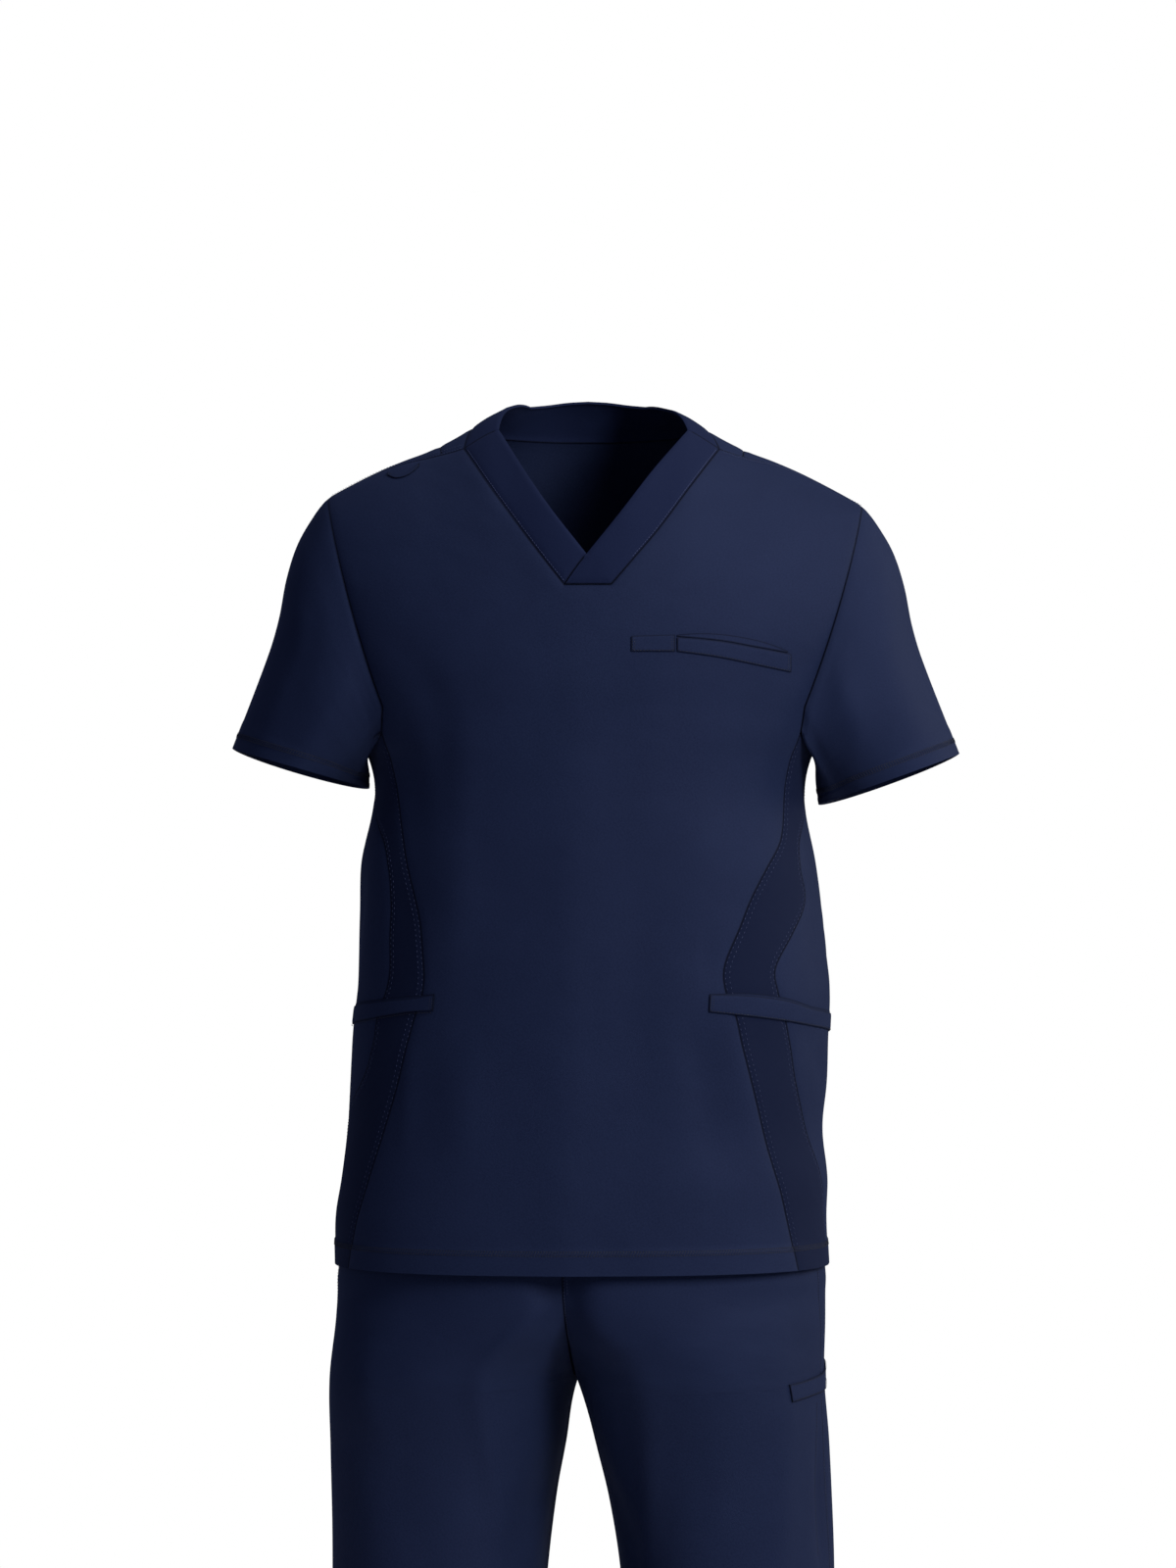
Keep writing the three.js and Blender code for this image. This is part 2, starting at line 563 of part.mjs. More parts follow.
// Chest pocket, wearer's left: a pen slot, a welt, and the facing that shows over the welt's fold.
const PEN_SLOT = [
  { at: 33.5, low: -172.5, high: -160.3 },
  { at: 67.5, low: -172.5, high: -159.2 },
];
const CHEST_WELT = [
  { at: 69, low: -172.5, high: -161.2 },
  { at: 101, low: -176.8, high: -164 },
  { at: 127, low: -181.8, high: -168.3 },
  { at: 158.5, low: -188, high: -173.6 },
];
const FACING_GAP = 0.5; // between the welt's fold and the facing above it
const CHEST_FACING = [
  { at: 69, low: -161.2 + FACING_GAP, high: -159.3 },
  { at: 88, low: -162.7 + FACING_GAP, high: -158 },
  { at: 107, low: -164.8 + FACING_GAP, high: -159 },
  { at: 127, low: -168.3 + FACING_GAP, high: -162.2 },
  { at: 142, low: -170.8 + FACING_GAP, high: -166 },
  { at: 156, low: -173.2 + FACING_GAP, high: -171.4 },
];
laid("chest_pen_slot", PEN_SLOT, (x, z) => placeOf(x, z), { steps: 4 });
laid("chest_pocket_welt", CHEST_WELT, (x, z) => placeOf(x, z), { steps: 12 });
laid("chest_pocket_facing", CHEST_FACING, (x, z) => placeOf(x, z), { wall: FACING, steps: 12 });

// Hip pocket bands, along the degrees round the top; behind the side they end as plainly as in front.
const HIP_BANDS = {
  left: [
    { at: 42, low: -451.6, high: -438 },
    { at: 53, low: -455.3, high: -439.2 },
    { at: 64, low: -459.7, high: -443.5 },
    { at: 75, low: -464.8, high: -451.5 },
    { at: 97, low: -472.5, high: -458.5 },
    { at: 112, low: -476, high: -462 },
  ],
  right: [
    { at: 41.3, low: -451.4, high: -438.3 },
    { at: 47.7, low: -452.6, high: -441.8 },
    { at: 54, low: -455.4, high: -443.6 },
    { at: 65, low: -460.5, high: -447 },
    { at: 89, low: -467.5, high: -454 },
    { at: 112, low: -470, high: -456.5 },
  ],
};
for (const s of SIDES) {
  const place = (d, z) => ({ degrees: s.sign * d, level: levelOf(z) });
  laid("hip_pocket_band_" + s.name, HIP_BANDS[s.name], place, { wall: BAND, steps: 20 });
  if (s.sign < 0) pieces.at(-1).rows.forEach((r) => r.reverse());
}

// A narrow loop hangs from the right shoulder seam, for a badge or a pen.
const BADGE_LOOP = [
  { at: -158.5, low: -31.2, high: -28.2 },
  { at: -152, low: -34, high: -31 },
  { at: -144, low: -32.8, high: -29.8 },
  { at: -138, low: -29.2, high: -26.2 },
  { at: -133, low: -24.6, high: -21.6 },
];
laid("badge_loop", BADGE_LOOP, (x, z) => placeOf(x, z), { wall: LOOP, steps: 10 });

// Trousers. Sections of one leg, measured from the trousers' own middle: middle of the leg, its inner
// and outer half widths, depths front and back. Above the crotch the legs' inner sides meet and stop.
const WAIST = -463;
const WAISTBAND_FOOT = -501;
const CROTCH = -747;
const LEG_SECTIONS = [
  { z: -1545, middle: 145, inner: 67, outer: 68, front: 72, back: 74, square: 2.1 },
  { z: -1350, middle: 136, inner: 70, outer: 70, front: 78, back: 81, square: 2.1 },
  { z: -1150, middle: 126, inner: 74, outer: 74.5, front: 86, back: 87, square: 2.15 },
  { z: -1000, middle: 118.5, inner: 80, outer: 80.5, front: 93, back: 95, square: 2.2 },
  { z: -897, middle: 113, inner: 83, outer: 85.5, front: 99, back: 101, square: 2.2 },
  { z: -840, middle: 108.5, inner: 86.5, outer: 89, front: 105, back: 107, square: 2.25 },
  { z: -797, middle: 104, inner: 91.5, outer: 92.8, front: 112, back: 114, square: 2.3 },
  { z: -768, middle: 99, inner: 92.5, outer: 97.2, front: 119, back: 120, square: 2.35 },
  { z: -747, middle: 93, inner: 93, outer: 102.6, front: 124, back: 125, square: 2.35 },
  { z: -733, middle: 86, inner: 93, outer: 109.2, front: 126.5, back: 127, square: 2.35 },
  { z: -716, middle: 71, inner: 93, outer: 123.6, front: 129.5, back: 128, square: 2.35 },
  { z: -696, middle: 44, inner: 93, outer: 150, front: 132, back: 127, square: 2.4 },
  { z: -678, middle: 16, inner: 93, outer: 177.7, front: 134, back: 124, square: 2.4 },
  { z: -665, middle: 0, inner: 93, outer: 193.9, front: 134.5, back: 122, square: 2.45 },
  { z: -640, middle: 0, inner: 93, outer: 191, front: 134, back: 120, square: 2.45 },
  { z: -600, middle: 0, inner: 93, outer: 186, front: 131, back: 118, square: 2.4 },
  { z: -555, middle: 0, inner: 93, outer: 177, front: 126, back: 110, square: 2.35 },
  { z: -501, middle: 0, inner: 93, outer: 165, front: 118, back: 103, square: 2.3 },
  { z: -463, middle: 0, inner: 93, outer: 163, front: 116, back: 101, square: 2.3 },
];
// Where the trousers' middle lies, and how far they are turned to -X.
const LEG_SET = [
  { z: -1545, mid: -2, turn: 0 },
  { z: -897, mid: -3, turn: 3 },
  { z: -800, mid: -5.5, turn: 4.5 },
  { z: -747, mid: -8, turn: 5 },
  { z: -700, mid: -5.5, turn: 6 },
  { z: -655, mid: -4.7, turn: 7 },
  { z: -600, mid: -3.5, turn: 7 },
  { z: -463, mid: 2, turn: 6 },
];
const LEG_ROWS = [
  -1545, -1490, -1420, -1350, -1270, -1190, -1110, -1030, -960, -897, -845, -800, -770, CROTCH,
  -742, -734, -723, -710, -695, -680, -662, -640, -605, -570, -535, WAISTBAND_FOOT,
];
const SIDE_SEAM = 8; // degrees in front of the leg's side
const CARGO_LIFT = 0.4; // the band bridges the hip's hollow

// Long soft folds of the legs: top and foot are degrees round the leg, from and to heights.
const LEG_FOLDS = [
  { leg: "right", top: 84, foot: 128, from: -640, to: -800, wide: 13, deep: 3.5 },
  { leg: "right", top: 104, foot: 80, from: -700, to: -960, wide: 16, deep: -3 },
  { leg: "left", top: 60, foot: 96, from: -690, to: -900, wide: 14, deep: -3.5 },
  { leg: "left", top: 34, foot: 22, from: -770, to: -990, wide: 14, deep: -5 },
  { leg: "right", top: 150, foot: 125, from: -770, to: -940, wide: 14, deep: -3.5 },
  { leg: "left", top: 155, foot: 128, from: -765, to: -950, wide: 14, deep: -3.5 },
  { leg: "right", top: -140, foot: -112, from: -770, to: -1010, wide: 15, deep: -5 },
  { leg: "left", top: -138, foot: -108, from: -775, to: -990, wide: 15, deep: -5 },
  { leg: "right", top: 70, foot: 110, from: -1130, to: -1290, wide: 16, deep: -4 },
  { leg: "left", top: 112, foot: 66, from: -1150, to: -1320, wide: 16, deep: -4 },
  { leg: "right", top: 60, foot: 96, from: -1400, to: -1530, wide: 17, deep: -4 },
  { leg: "left", top: 105, foot: 74, from: -1390, to: -1535, wide: 17, deep: -4 },
  { leg: "right", top: -80, foot: -120, from: -1380, to: -1540, wide: 17, deep: -4.5 },
  { leg: "left", top: -85, foot: -115, from: -1370, to: -1540, wide: 17, deep: -4.5 },
];
function legFold(s, degrees, z) {
  let out = 0;
  for (const f of LEG_FOLDS) {
    const t = (z - f.from) / (f.to - f.from);
    if (f.leg !== s.name || t <= 0 || t >= 1) continue;
    const away = (degrees - lerp(f.top, f.foot, t)) / f.wide;
    out += f.deep * Math.exp(-away * away) * Math.sin(Math.PI * t) ** 2;
  }
  return out;
}

// A point of the leg's section: 0 degrees is the outer side, 90 the front, 180 the inner side.
function legPoint(s, degrees, z) {
  const get = (column) => read(LEG_SECTIONS, "z", column, z);
  const c = Math.cos(rad(degrees));
  const d = Math.sin(rad(degrees));
  const wide = c > 0 ? get("outer") : get("inner");
  const deep = d > 0 ? get("front") : get("back");
  const square = get("square");
  const r = (Math.abs(c / wide) ** square + Math.abs(d / deep) ** square) ** (-1 / square)
    + legFold(s, degrees, z);
  const x = s.sign * Math.max(get("middle") + r * c, 0);
  // The trousers turn inside their own outline, so the hips keep their shape under the top.
  const outline = (angle) => Math.hypot(...onSection(
    angle, get("middle") + get("outer"), get("front"), get("back"), square));
  const angle = THREE.MathUtils.radToDeg(Math.atan2(x, r * d));
  const turned = angle - read(LEG_SET, "z", "turn", z);
  const out = (Math.hypot(x, r * d) / outline(angle)) * outline(turned);
  return new THREE.Vector3(
    read(LEG_SET, "z", "mid", z) + out * Math.sin(rad(turned)), -out * Math.cos(rad(turned)), z);
}
// Degrees at which the section meets the middle, in front; the inner side below the crotch.
function riseAngle(z, behind) {
  if (z <= CROTCH) return 180;
  const get = (column) => read(LEG_SECTIONS, "z", column, z);
  const across = clamp(get("middle") / get("inner"), 0, 1);
  const deep = get(behind ? "back" : "front") * (1 - across ** get("square")) ** (1 / get("square"));
  return THREE.MathUtils.radToDeg(Math.atan2(deep, -get("middle")));
}
const LEG_COLUMNS = 12;
function trouserPanel(s, behind) {
  const rows = LEG_ROWS.map((z) => {
    const end = riseAngle(z, behind);
    return range(LEG_COLUMNS, (u) => {
      const degrees = behind ? lerp(SIDE_SEAM, -end, u) : lerp(SIDE_SEAM, end, u);
      return legPoint(s, degrees, z);
    });
  });
  const flip = s.sign > 0 !== behind;
  piece("trouser_" + (behind ? "back_" : "front_") + s.name,
    flip ? rows.map((r) => r.reverse()) : rows);
}
for (const s of SIDES) for (const behind of [false, true]) trouserPanel(s, behind);

// Elastic waistband, a plain ring on the panels' own points.
function waistband() {
  const ring = (z) => {
    const arc = (s, a, b) => range(LEG_COLUMNS, (u) => legPoint(s, lerp(a, b, u), z)).slice(0, -1);
    const [r, l] = SIDES;
    return [
      ...arc(r, 90, SIDE_SEAM), ...arc(r, SIDE_SEAM, -90),
      ...arc(l, -90, SIDE_SEAM), ...arc(l, SIDE_SEAM, 90),
    ];
  };
  const rows = range(2, (t) => ring(lerp(WAISTBAND_FOOT, WAIST, t)).reverse());
  piece("waistband", rows, { wall: BAND, round: true });
}
waistband();

// Cargo pocket band on the left leg, over the side seam. Degrees here fall from the front to the back.
const CARGO_BAND = [
  { at: 43, low: -757.5, high: -743.3 },
  { at: 24, low: -755.6, high: -741.4 },
  { at: 0, low: -755, high: -739.5 },
  { at: -30, low: -750, high: -734.5 },
  { at: -52, low: -746, high: -730.5 },
];
function cargoBand() {
  const left = SIDES[1];
  const lift = SEAM_GAP + CARGO_LIFT + BAND;
  const out = (d, z) => {
    const du = legPoint(left, d - NEAR.degrees, z).sub(legPoint(left, d + NEAR.degrees, z));
    const dv = legPoint(left, d, z + NEAR.z).sub(legPoint(left, d, z - NEAR.z));
    return legPoint(left, d, z).addScaledVector(du.cross(dv).normalize(), lift);
  };
  const along = range(16, (t) => lerp(CARGO_BAND[0].at, CARGO_BAND.at(-1).at, t));
  const rows = range(EDGE_ROWS, (v) => along.map((d) => out(d, lerp(
    read(CARGO_BAND, "at", "low", d), read(CARGO_BAND, "at", "high", d), v))));
  piece("cargo_pocket_band", rows, { wall: BAND, sewn: false });
}
cargoBand();

mitred(pieces);
const CLOTHS = {
  woven: new THREE.MeshStandardMaterial({ color: 0x1c2340, roughness: 0.85, metalness: 0 }),
  knit: new THREE.MeshStandardMaterial({ color: 0x151b36, roughness: 0.92, metalness: 0 }),
};
const scrubs = new THREE.Group();
for (const s of pieces) {
  const mesh = new THREE.Mesh(walled(s), (s.knit ? CLOTHS.knit : CLOTHS.woven).clone());
  mesh.name = s.name;
  scrubs.add(mesh);
}
export default scrubs;
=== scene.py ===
# %% [markdown]
# Medical scrubs, worn but with no wearer: a V-neck top with knit side inserts over straight trousers.
# The cloth is modelled as thin shells on the same surface that the pattern pieces were made on, so
# each seam meets its neighbour exactly. A simulation could drape the cloth, but here the photographed
# fall is known, so the surface is written as sections and arches, and the folds are listed one by one.

# %% Load the frame
import math

import bpy
import numpy as np
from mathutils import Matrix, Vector


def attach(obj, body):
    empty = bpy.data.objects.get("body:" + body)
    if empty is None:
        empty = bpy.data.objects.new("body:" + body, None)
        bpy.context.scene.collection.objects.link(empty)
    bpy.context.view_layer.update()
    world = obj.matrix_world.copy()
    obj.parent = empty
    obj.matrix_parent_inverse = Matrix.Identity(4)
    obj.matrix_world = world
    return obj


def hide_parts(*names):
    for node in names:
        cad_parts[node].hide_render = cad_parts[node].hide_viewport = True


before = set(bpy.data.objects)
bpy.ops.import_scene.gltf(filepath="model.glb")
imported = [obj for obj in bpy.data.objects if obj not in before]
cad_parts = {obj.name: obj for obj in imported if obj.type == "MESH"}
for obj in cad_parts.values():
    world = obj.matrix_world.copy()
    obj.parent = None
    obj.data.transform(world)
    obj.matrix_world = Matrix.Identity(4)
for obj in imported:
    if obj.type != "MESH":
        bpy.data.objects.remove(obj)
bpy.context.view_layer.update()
MM = 0.001

# %% [markdown]
# The camera comes first. It stands 4.6 m in front, level with the chest, where one millimetre of lens
# length per millimetre of view gives the same framing as a studio shot on a long portrait lens.

# %% Camera
VIEW_HEIGHT = 1600 * 0.78 * MM  # the frame's height at the wearer's middle
CAMERA_DISTANCE = 4.6
CAMERA_Z = -0.275
camera = bpy.data.objects.new("camera", bpy.data.cameras.new("camera"))
bpy.context.scene.collection.objects.link(camera)
camera.location = (0, -CAMERA_DISTANCE, CAMERA_Z)
camera.rotation_euler = (math.radians(90), 0, 0)
camera.data.sensor_fit = "VERTICAL"
camera.data.sensor_height = 36
camera.data.lens = 36 * CAMERA_DISTANCE / VIEW_HEIGHT
bpy.context.scene.camera = camera
print("lens", round(camera.data.lens, 1))

# %% [markdown]
# The worn shape is a stack of rounded sections. Each table row is one section, in millimetres. A
# lofted mesh would do as well, but a formula lets every seam, pocket and stitch ask for its own place.

# %% Sizes and sections of the top
CLOTH, BAND, SEAM_GAP = 1.5, 2.0, 0.3
HEM, UNDERARM, SIDE_TOP, CHEST = -655, -243, -236, -215
RIDGE_Y, FAN, FAN_EARLY, ARCH_FULL = 5, 0.285, 0.3, 0.92


def table(names, *rows):
    """Rows of numbers as columns by name."""
    return dict(zip(names.split(), np.array(rows, float).T))


SECTIONS = table(
    "z mid half front back square turn",
    (-655, -4.7, 195.8, 142, 128, 2.5, 6),
    (-618, -5.5, 195.0, 141, 127, 2.5, 6),
    (-587, -2.7, 193.0, 140, 124, 2.5, 6),
    (-548, -2.3, 188.7, 138, 118, 2.45, 6),
    (-509, 0.7, 189.5, 137, 113, 2.4, 6),
    (-477, 2.3, 189.5, 136, 110, 2.4, 6.5),
    (-438, 4.7, 188.7, 135, 107, 2.4, 6.5),
    (-415, 3.9, 187.2, 134, 107, 2.4, 6),
    (-376, 2.3, 184.0, 132, 109, 2.4, 3),
    (-337, 0.4, 180.6, 131, 113, 2.4, 1.5),
    (-298, 0.8, 172.4, 130, 117, 2.35, 1.5),
    (-277, 1.5, 171.0, 129, 119, 2.35, 1.5),
    (-256, 1.5, 175.5, 128.5, 120, 2.35, 1),
    (-240, 1.5, 184.0, 128, 121, 2.35, 0.5),
    (-215, 2.0, 194.0, 127, 122, 2.35, 0),
)
RIDGE = table(
    "x z",
    (0, 66), (15, 64.5), (30, 56.5), (60, 28), (82, 15), (104, 1), (127, -10.5), (147, -18), (168, -27),
    (191, -38.5), (213, -50.5), (240, -66),
)
SIDE_SEAMS = table(
    "z leftFront leftBack rightFront rightBack",
    (-655, 68.3, 90, 64, 98),
    (-618, 65.5, 85, 60.3, 94),
    (-582, 61.5, 80.5, 57.5, 90),
    (-545, 58.5, 74, 54, 82),
    (-509, 54.5, 68.5, 51, 66),
    (-480, 52, 66.5, 48.5, 60.8),
    (-454, 49.6, 64, 46.6, 59.5),
    (-437, 46.8, 61.8, 45.1, 57.2),
    (-419, 46.3, 61.2, 45.1, 56.4),
    (-391, 49, 66.5, 48.3, 59),
    (-365, 52.1, 72, 52.2, 60.6),
    (-340, 57.3, 70.5, 55.8, 62.6),
    (-318, 63.5, 73, 58.8, 67),
    (-296, 66.6, 84, 62, 78),
    (-268, 67.7, 96, 65, 93),
    (-236, 67.5, 104, 66, 104),
)
BACK_SEAM = (146, 139.5)
NECK_SEAM = table(
    "z right left",
    (-120, -18.5, 18), (-99, -35, 36), (-77, -51.5, 54.5), (-43, -76, 79.5), (-10, -98, 104),
)
NECK_EDGE = table("z right left", (-96, -1, -1), (-60, -29, 27.5), (-29, -50, 51), (5, -70.5, 79))
NECK_BACK = table("x seam edge", (0, 2, 34), (30, 2, 33), (60, 3, 30.5), (85, 5, 28.5))


# %% Reading a table and making a section
def lerp(a, b, t):
    return a + (b - a) * t


def read(rows, by, column, at):
    """A column's value between two rows, on a smooth curve. at may be an array."""
    xs, ys = rows[by], rows[column]
    rise = np.diff(ys) / np.diff(xs)
    slope = np.r_[rise[0], (ys[2:] - ys[:-2]) / (xs[2:] - xs[:-2]), rise[-1]]
    i = np.clip(np.searchsorted(xs, at) - 1, 0, len(xs) - 2)
    span = xs[i + 1] - xs[i]
    t = np.clip((at - xs[i]) / span, 0, 1)
    t2, t3 = t * t, t * t * t
    return (
        ys[i] * (2 * t3 - 3 * t2 + 1) + slope[i] * span * (t3 - 2 * t2 + t)
        + ys[i + 1] * (3 * t2 - 2 * t3) + slope[i + 1] * span * (t3 - t2)
    )


def section_radius(s, c, half, front, back, square):
    depth = np.where(c > 0, front, back)
    return (np.abs(s / half) ** square + np.abs(c / depth) ** square) ** (-1 / square)


def torso_ring(degrees, z):
    get = lambda column: read(SECTIONS, "z", column, z)
    angle = np.radians(degrees - get("turn"))
    s, c = np.sin(angle), np.cos(angle)
    r = section_radius(s, c, get("half"), get("front"), get("back"), get("square"))
    return get("mid") + r * s, -r * c


# %% [markdown]
# Above the chest, front and back lean together over the shoulders. Each line of the cloth runs up an
# arch to the shoulder's ridge, and fans outwards, as the shoulders are wider than the chest.

# %% The top's surface
CHEST_RING = {k: v[-1] for k, v in SECTIONS.items()}
fan = lambda rise: 1 + FAN * rise * (1 + FAN_EARLY - FAN_EARLY * rise)
level_of = lambda z: (z - HEM) / (CHEST - HEM)


def chest_depth(x, behind):
    across = np.clip(np.abs((x - CHEST_RING["mid"]) / CHEST_RING["half"]), 0, 1)
    depth = np.where(behind, CHEST_RING["back"], -CHEST_RING["front"])
    return depth * (1 - across ** CHEST_RING["square"]) ** (1 / CHEST_RING["square"])


def degrees_at(x, behind=False):
    angle = np.degrees(np.arctan2(x - CHEST_RING["mid"], np.abs(chest_depth(x, behind))))
    return np.where(behind, np.where(angle < 0, -180, 180) - angle, angle)


def plain_top(degrees, level):
    """Points of the top's outer surface: level 0 to 1 is hem to chest, 2 is the shoulder ridge."""
    degrees, level = np.broadcast_arrays(np.asarray(degrees, float), np.asarray(level, float))
    z = lerp(HEM, CHEST, np.minimum(level, 1))
    low = np.stack([*torso_ring(degrees, z), z], -1)
    over = level > 2
    arch = np.radians(90 * np.clip(np.where(over, 3 - level, level - 1), 0, 1))
    x0 = torso_ring(degrees, CHEST)[0]
    behind = np.cos(np.radians(degrees)) < 0
    y0 = chest_depth(x0, behind != over)
    rise = np.sin(arch)
    ridge = read(RIDGE, "x", "z", np.abs(x0 * (1 + FAN)))
    y = RIDGE_Y + (y0 - RIDGE_Y) * np.maximum(np.cos(arch), 0) ** ARCH_FULL
    high = np.stack([x0 * fan(rise), y, CHEST + (ridge - CHEST) * rise], -1)
    return np.where((level <= 1)[..., None], low, high)


def place_of(x, z, behind=False):
    """Degrees and level of the place on the front, or the back, that has this x and z."""
    x, z = np.broadcast_arrays(np.asarray(x, float), np.asarray(z, float))
    rise = np.full(x.shape, 0.5)
    for _ in range(30):
        ridge = read(RIDGE, "x", "z", np.abs(x / fan(rise) * (1 + FAN)))
        rise = np.clip((z - CHEST) / (ridge - CHEST), 0, 1)
    return degrees_at(x / fan(rise), behind), 1 + np.arcsin(rise) * 2 / math.pi


def from_behind(place):
    return degrees_at(torso_ring(place[0], CHEST)[0], True), 4 - place[1]


def surface_normal(surface, u, v, du=0.4, dv=0.002):
    a = surface(u + du, v) - surface(u - du, v)
    b = surface(u, v + dv) - surface(u, v - dv)
    n = np.cross(a, b)
    return n / np.linalg.norm(n, axis=-1, keepdims=True)


print("hem centre", plain_top(0, 0).round(1), "shoulder", plain_top(-64, 1.97).round(1))

# %% [markdown]
# Soft folds: the cloth hangs in a few long, shallow ridges and hollows. Each is a row here, with the
# angle round the body at its top and foot, its two levels, width and depth. They are uneven on
# purpose, and like ones lie on the back. Noise would give folds too, but none in the right place.

# %% Folds of the top
FOLDS = table(
    "top foot start end width depth",
    (-7, 1, 0.0, 1.25, 11, 2.2),
    (18, 25, 0.05, 0.85, 8, -1.6),
    (-44, -36, 0.42, 1.06, 6, 2.4),
    (-60, -52, 0.4, 1.1, 8, -3.2),
    (-33, -30, 0.1, 0.46, 6, 2.0),
    (-48, -47, 0.18, 0.44, 2.6, 1.4),
    (37, 46, 0.14, 0.5, 5, -2.2),
    (47, 57, 0.14, 0.52, 4, 1.6),
    (40.6, 40.9, 0.485, 0.64, 1.1, -1.0),
    (43.4, 43.2, 0.485, 0.6, 1.0, -0.9),
    (71, 88, 0.28, 0.46, 3, -1.6),
    (58, 40, 0.62, 1.25, 5, -2.0),
    (-56, -38, 0.62, 1.3, 5, -2.0),
    (79, 84, 0.42, 0.8, 5, -3.0),
    (-76, -82, 0.42, 0.8, 5, -2.6),
    (100, 96, 0.3, 0.72, 6, -3.0),
    (-104, -98, 0.3, 0.7, 6, -2.8),
    (128, 118, 0.05, 0.7, 8, -3.0),
    (-126, -121, 0.1, 0.66, 8, -2.6),
    (168, 160, 0.1, 0.6, 9, -2.4),
    (-163, -170, 0.05, 0.55, 9, 2.0),
    (112, 136, 0.8, 1.5, 6, -2.4),
    (-112, -132, 0.75, 1.5, 6, -2.4),
)


def smooth(t):
    t = np.clip(t, 0, 1)
    return t * t * (3 - 2 * t)


def top_folds(degrees, level):
    out = np.zeros(np.broadcast(degrees, level).shape)
    for top, foot, start, end, width, depth in zip(*FOLDS.values()):
        t = (level - start) / (end - start)
        away = (degrees - lerp(foot, top, np.clip(t, 0, 1)) + 180) % 360 - 180
        fade = smooth((1 - t) * 2.2) * (1 if start <= 0 else smooth(t * 2.2))
        out += depth * np.exp(-((away / width) ** 2)) * fade
    return out * smooth((2.0 - level) / 0.4)


def on_top(place, lift=0.0):
    """Points of the folded surface, lifted off it by so many millimetres."""
    degrees, level = np.broadcast_arrays(*place)
    out = lift + top_folds(degrees, level)
    return plain_top(degrees, level) + surface_normal(plain_top, degrees, level) * out[..., None]


# %% [markdown]
# Every piece is a grid of points with its edge on the seam. The grid is closed into a shell with the
# cloth's real wall. Its sewn edges sink by 0.7 mm over the last few, as seam allowances pull
# them in, which is what makes a seam read. A solidify modifier would wall the shell as well, but here
# the walls of two neighbours also have to lean alike.

# %% From a grid to a shell
def faces_of(grid, around):
    """Quads of point numbers, with shared places merged and cut-away places left out."""
    rows, cols = grid.shape[:2]
    there = np.isfinite(grid[..., 0])
    flat = grid.reshape(-1, 3)
    keys = np.round(np.nan_to_num(flat, nan=1e6) * 200).astype(np.int64)
    _, first, number = np.unique(keys, axis=0, return_index=True, return_inverse=True)
    number = number.reshape(rows, cols)
    i = np.arange(cols if around else cols - 1)
    k = (i + 1) % cols
    j = np.arange(rows - 1)[:, None]
    quads = np.stack([number[j, i], number[j, k], number[j + 1, k], number[j + 1, i]], -1)
    whole = there[j, i] & there[j, k] & there[j + 1, k] & there[j + 1, i]
    quads = quads[whole]
    used, quads = np.unique(quads, return_inverse=True)
    return flat[first[used]], quads.reshape(-1, 4), first[used]


def corner_normals(points, quads):
    across = points[quads[:, 2]] - points[quads[:, 0]]
    along = points[quads[:, 3]] - points[quads[:, 1]]
    facing = np.cross(across, along)
    normals = np.zeros_like(points)
    for k in range(4):
        np.add.at(normals, quads[:, k], facing)
    return normals / np.linalg.norm(normals, axis=1, keepdims=True)


def rim_of(quads):
    """Directed edges that have a face on one side only."""
    edges = np.concatenate([quads[:, [k, (k + 1) % 4]] for k in range(4)])
    edges = edges[edges[:, 0] != edges[:, 1]]
    known = set(map(tuple, edges))
    return np.array([e for e in known if (e[1], e[0]) not in known])


def edge_distance(points, rim):
    """How far each point is from the nearest of these edges."""
    if not len(rim):
        return np.full(len(points), 1e3)
    a, b = points[rim[:, 0]], points[rim[:, 1]]
    d = b - a
    best = np.full(len(points), 1e3)
    for start in range(0, len(points), 2000):
        p = points[start:start + 2000, None, :]
        t = np.clip(((p - a) * d).sum(-1) / (d * d).sum(-1), 0, 1)
        best[start:start + 2000] = np.linalg.norm(p - a - d * t[..., None], axis=-1).min(1)
    return best


SEAM_DIP, SEAM_REACH = 0.7, 2.6  # how deep and how wide a sewn edge sinks, in millimetres
shells = {}


def shell(name, grid, wall=CLOTH, around=False, dip=SEAM_DIP, sewn=lambda p: np.ones(len(p), bool)):
    """Keeps a piece as points, faces and normals until every neighbour is there too."""
    points, quads, source = faces_of(grid, around)
    rim = rim_of(quads)
    normals = corner_normals(points, quads)
    is_sewn = sewn(points[rim].mean(1))
    distance = edge_distance(points, rim[is_sewn])
    sunk = points - normals * (dip * np.exp(-((distance / SEAM_REACH) ** 2)))[:, None]
    uv = grid_uv(grid).reshape(-1, 2)[source]
    shells[name] = dict(
        points=sunk, quads=quads, normals=normals, rim=rim, wall=wall, uv=uv, seam=distance,
        length=np.nanmax(row_lengths(grid.swapaxes(0, 1))), width=np.nanmax(row_lengths(grid)))


def row_lengths(grid):
    steps = np.linalg.norm(np.diff(grid, axis=1), axis=-1)
    return np.nansum(steps, axis=1)


def grid_uv(grid):
    """Metres across and up the cloth, from its own middle column."""
    middle = grid.shape[1] // 2
    steps = np.nan_to_num(np.linalg.norm(np.diff(grid, axis=1), axis=-1), nan=3.0)
    u = np.concatenate([np.zeros((len(grid), 1)), np.cumsum(steps, 1)], 1)
    u -= u[:, middle:middle + 1]
    rise = np.nan_to_num(np.linalg.norm(np.diff(grid, axis=0), axis=-1), nan=0)
    rise = rise.max(1)
    v = np.r_[0, np.cumsum(rise)]
    return np.stack([u, np.broadcast_to(v[:, None], u.shape)], -1) * MM


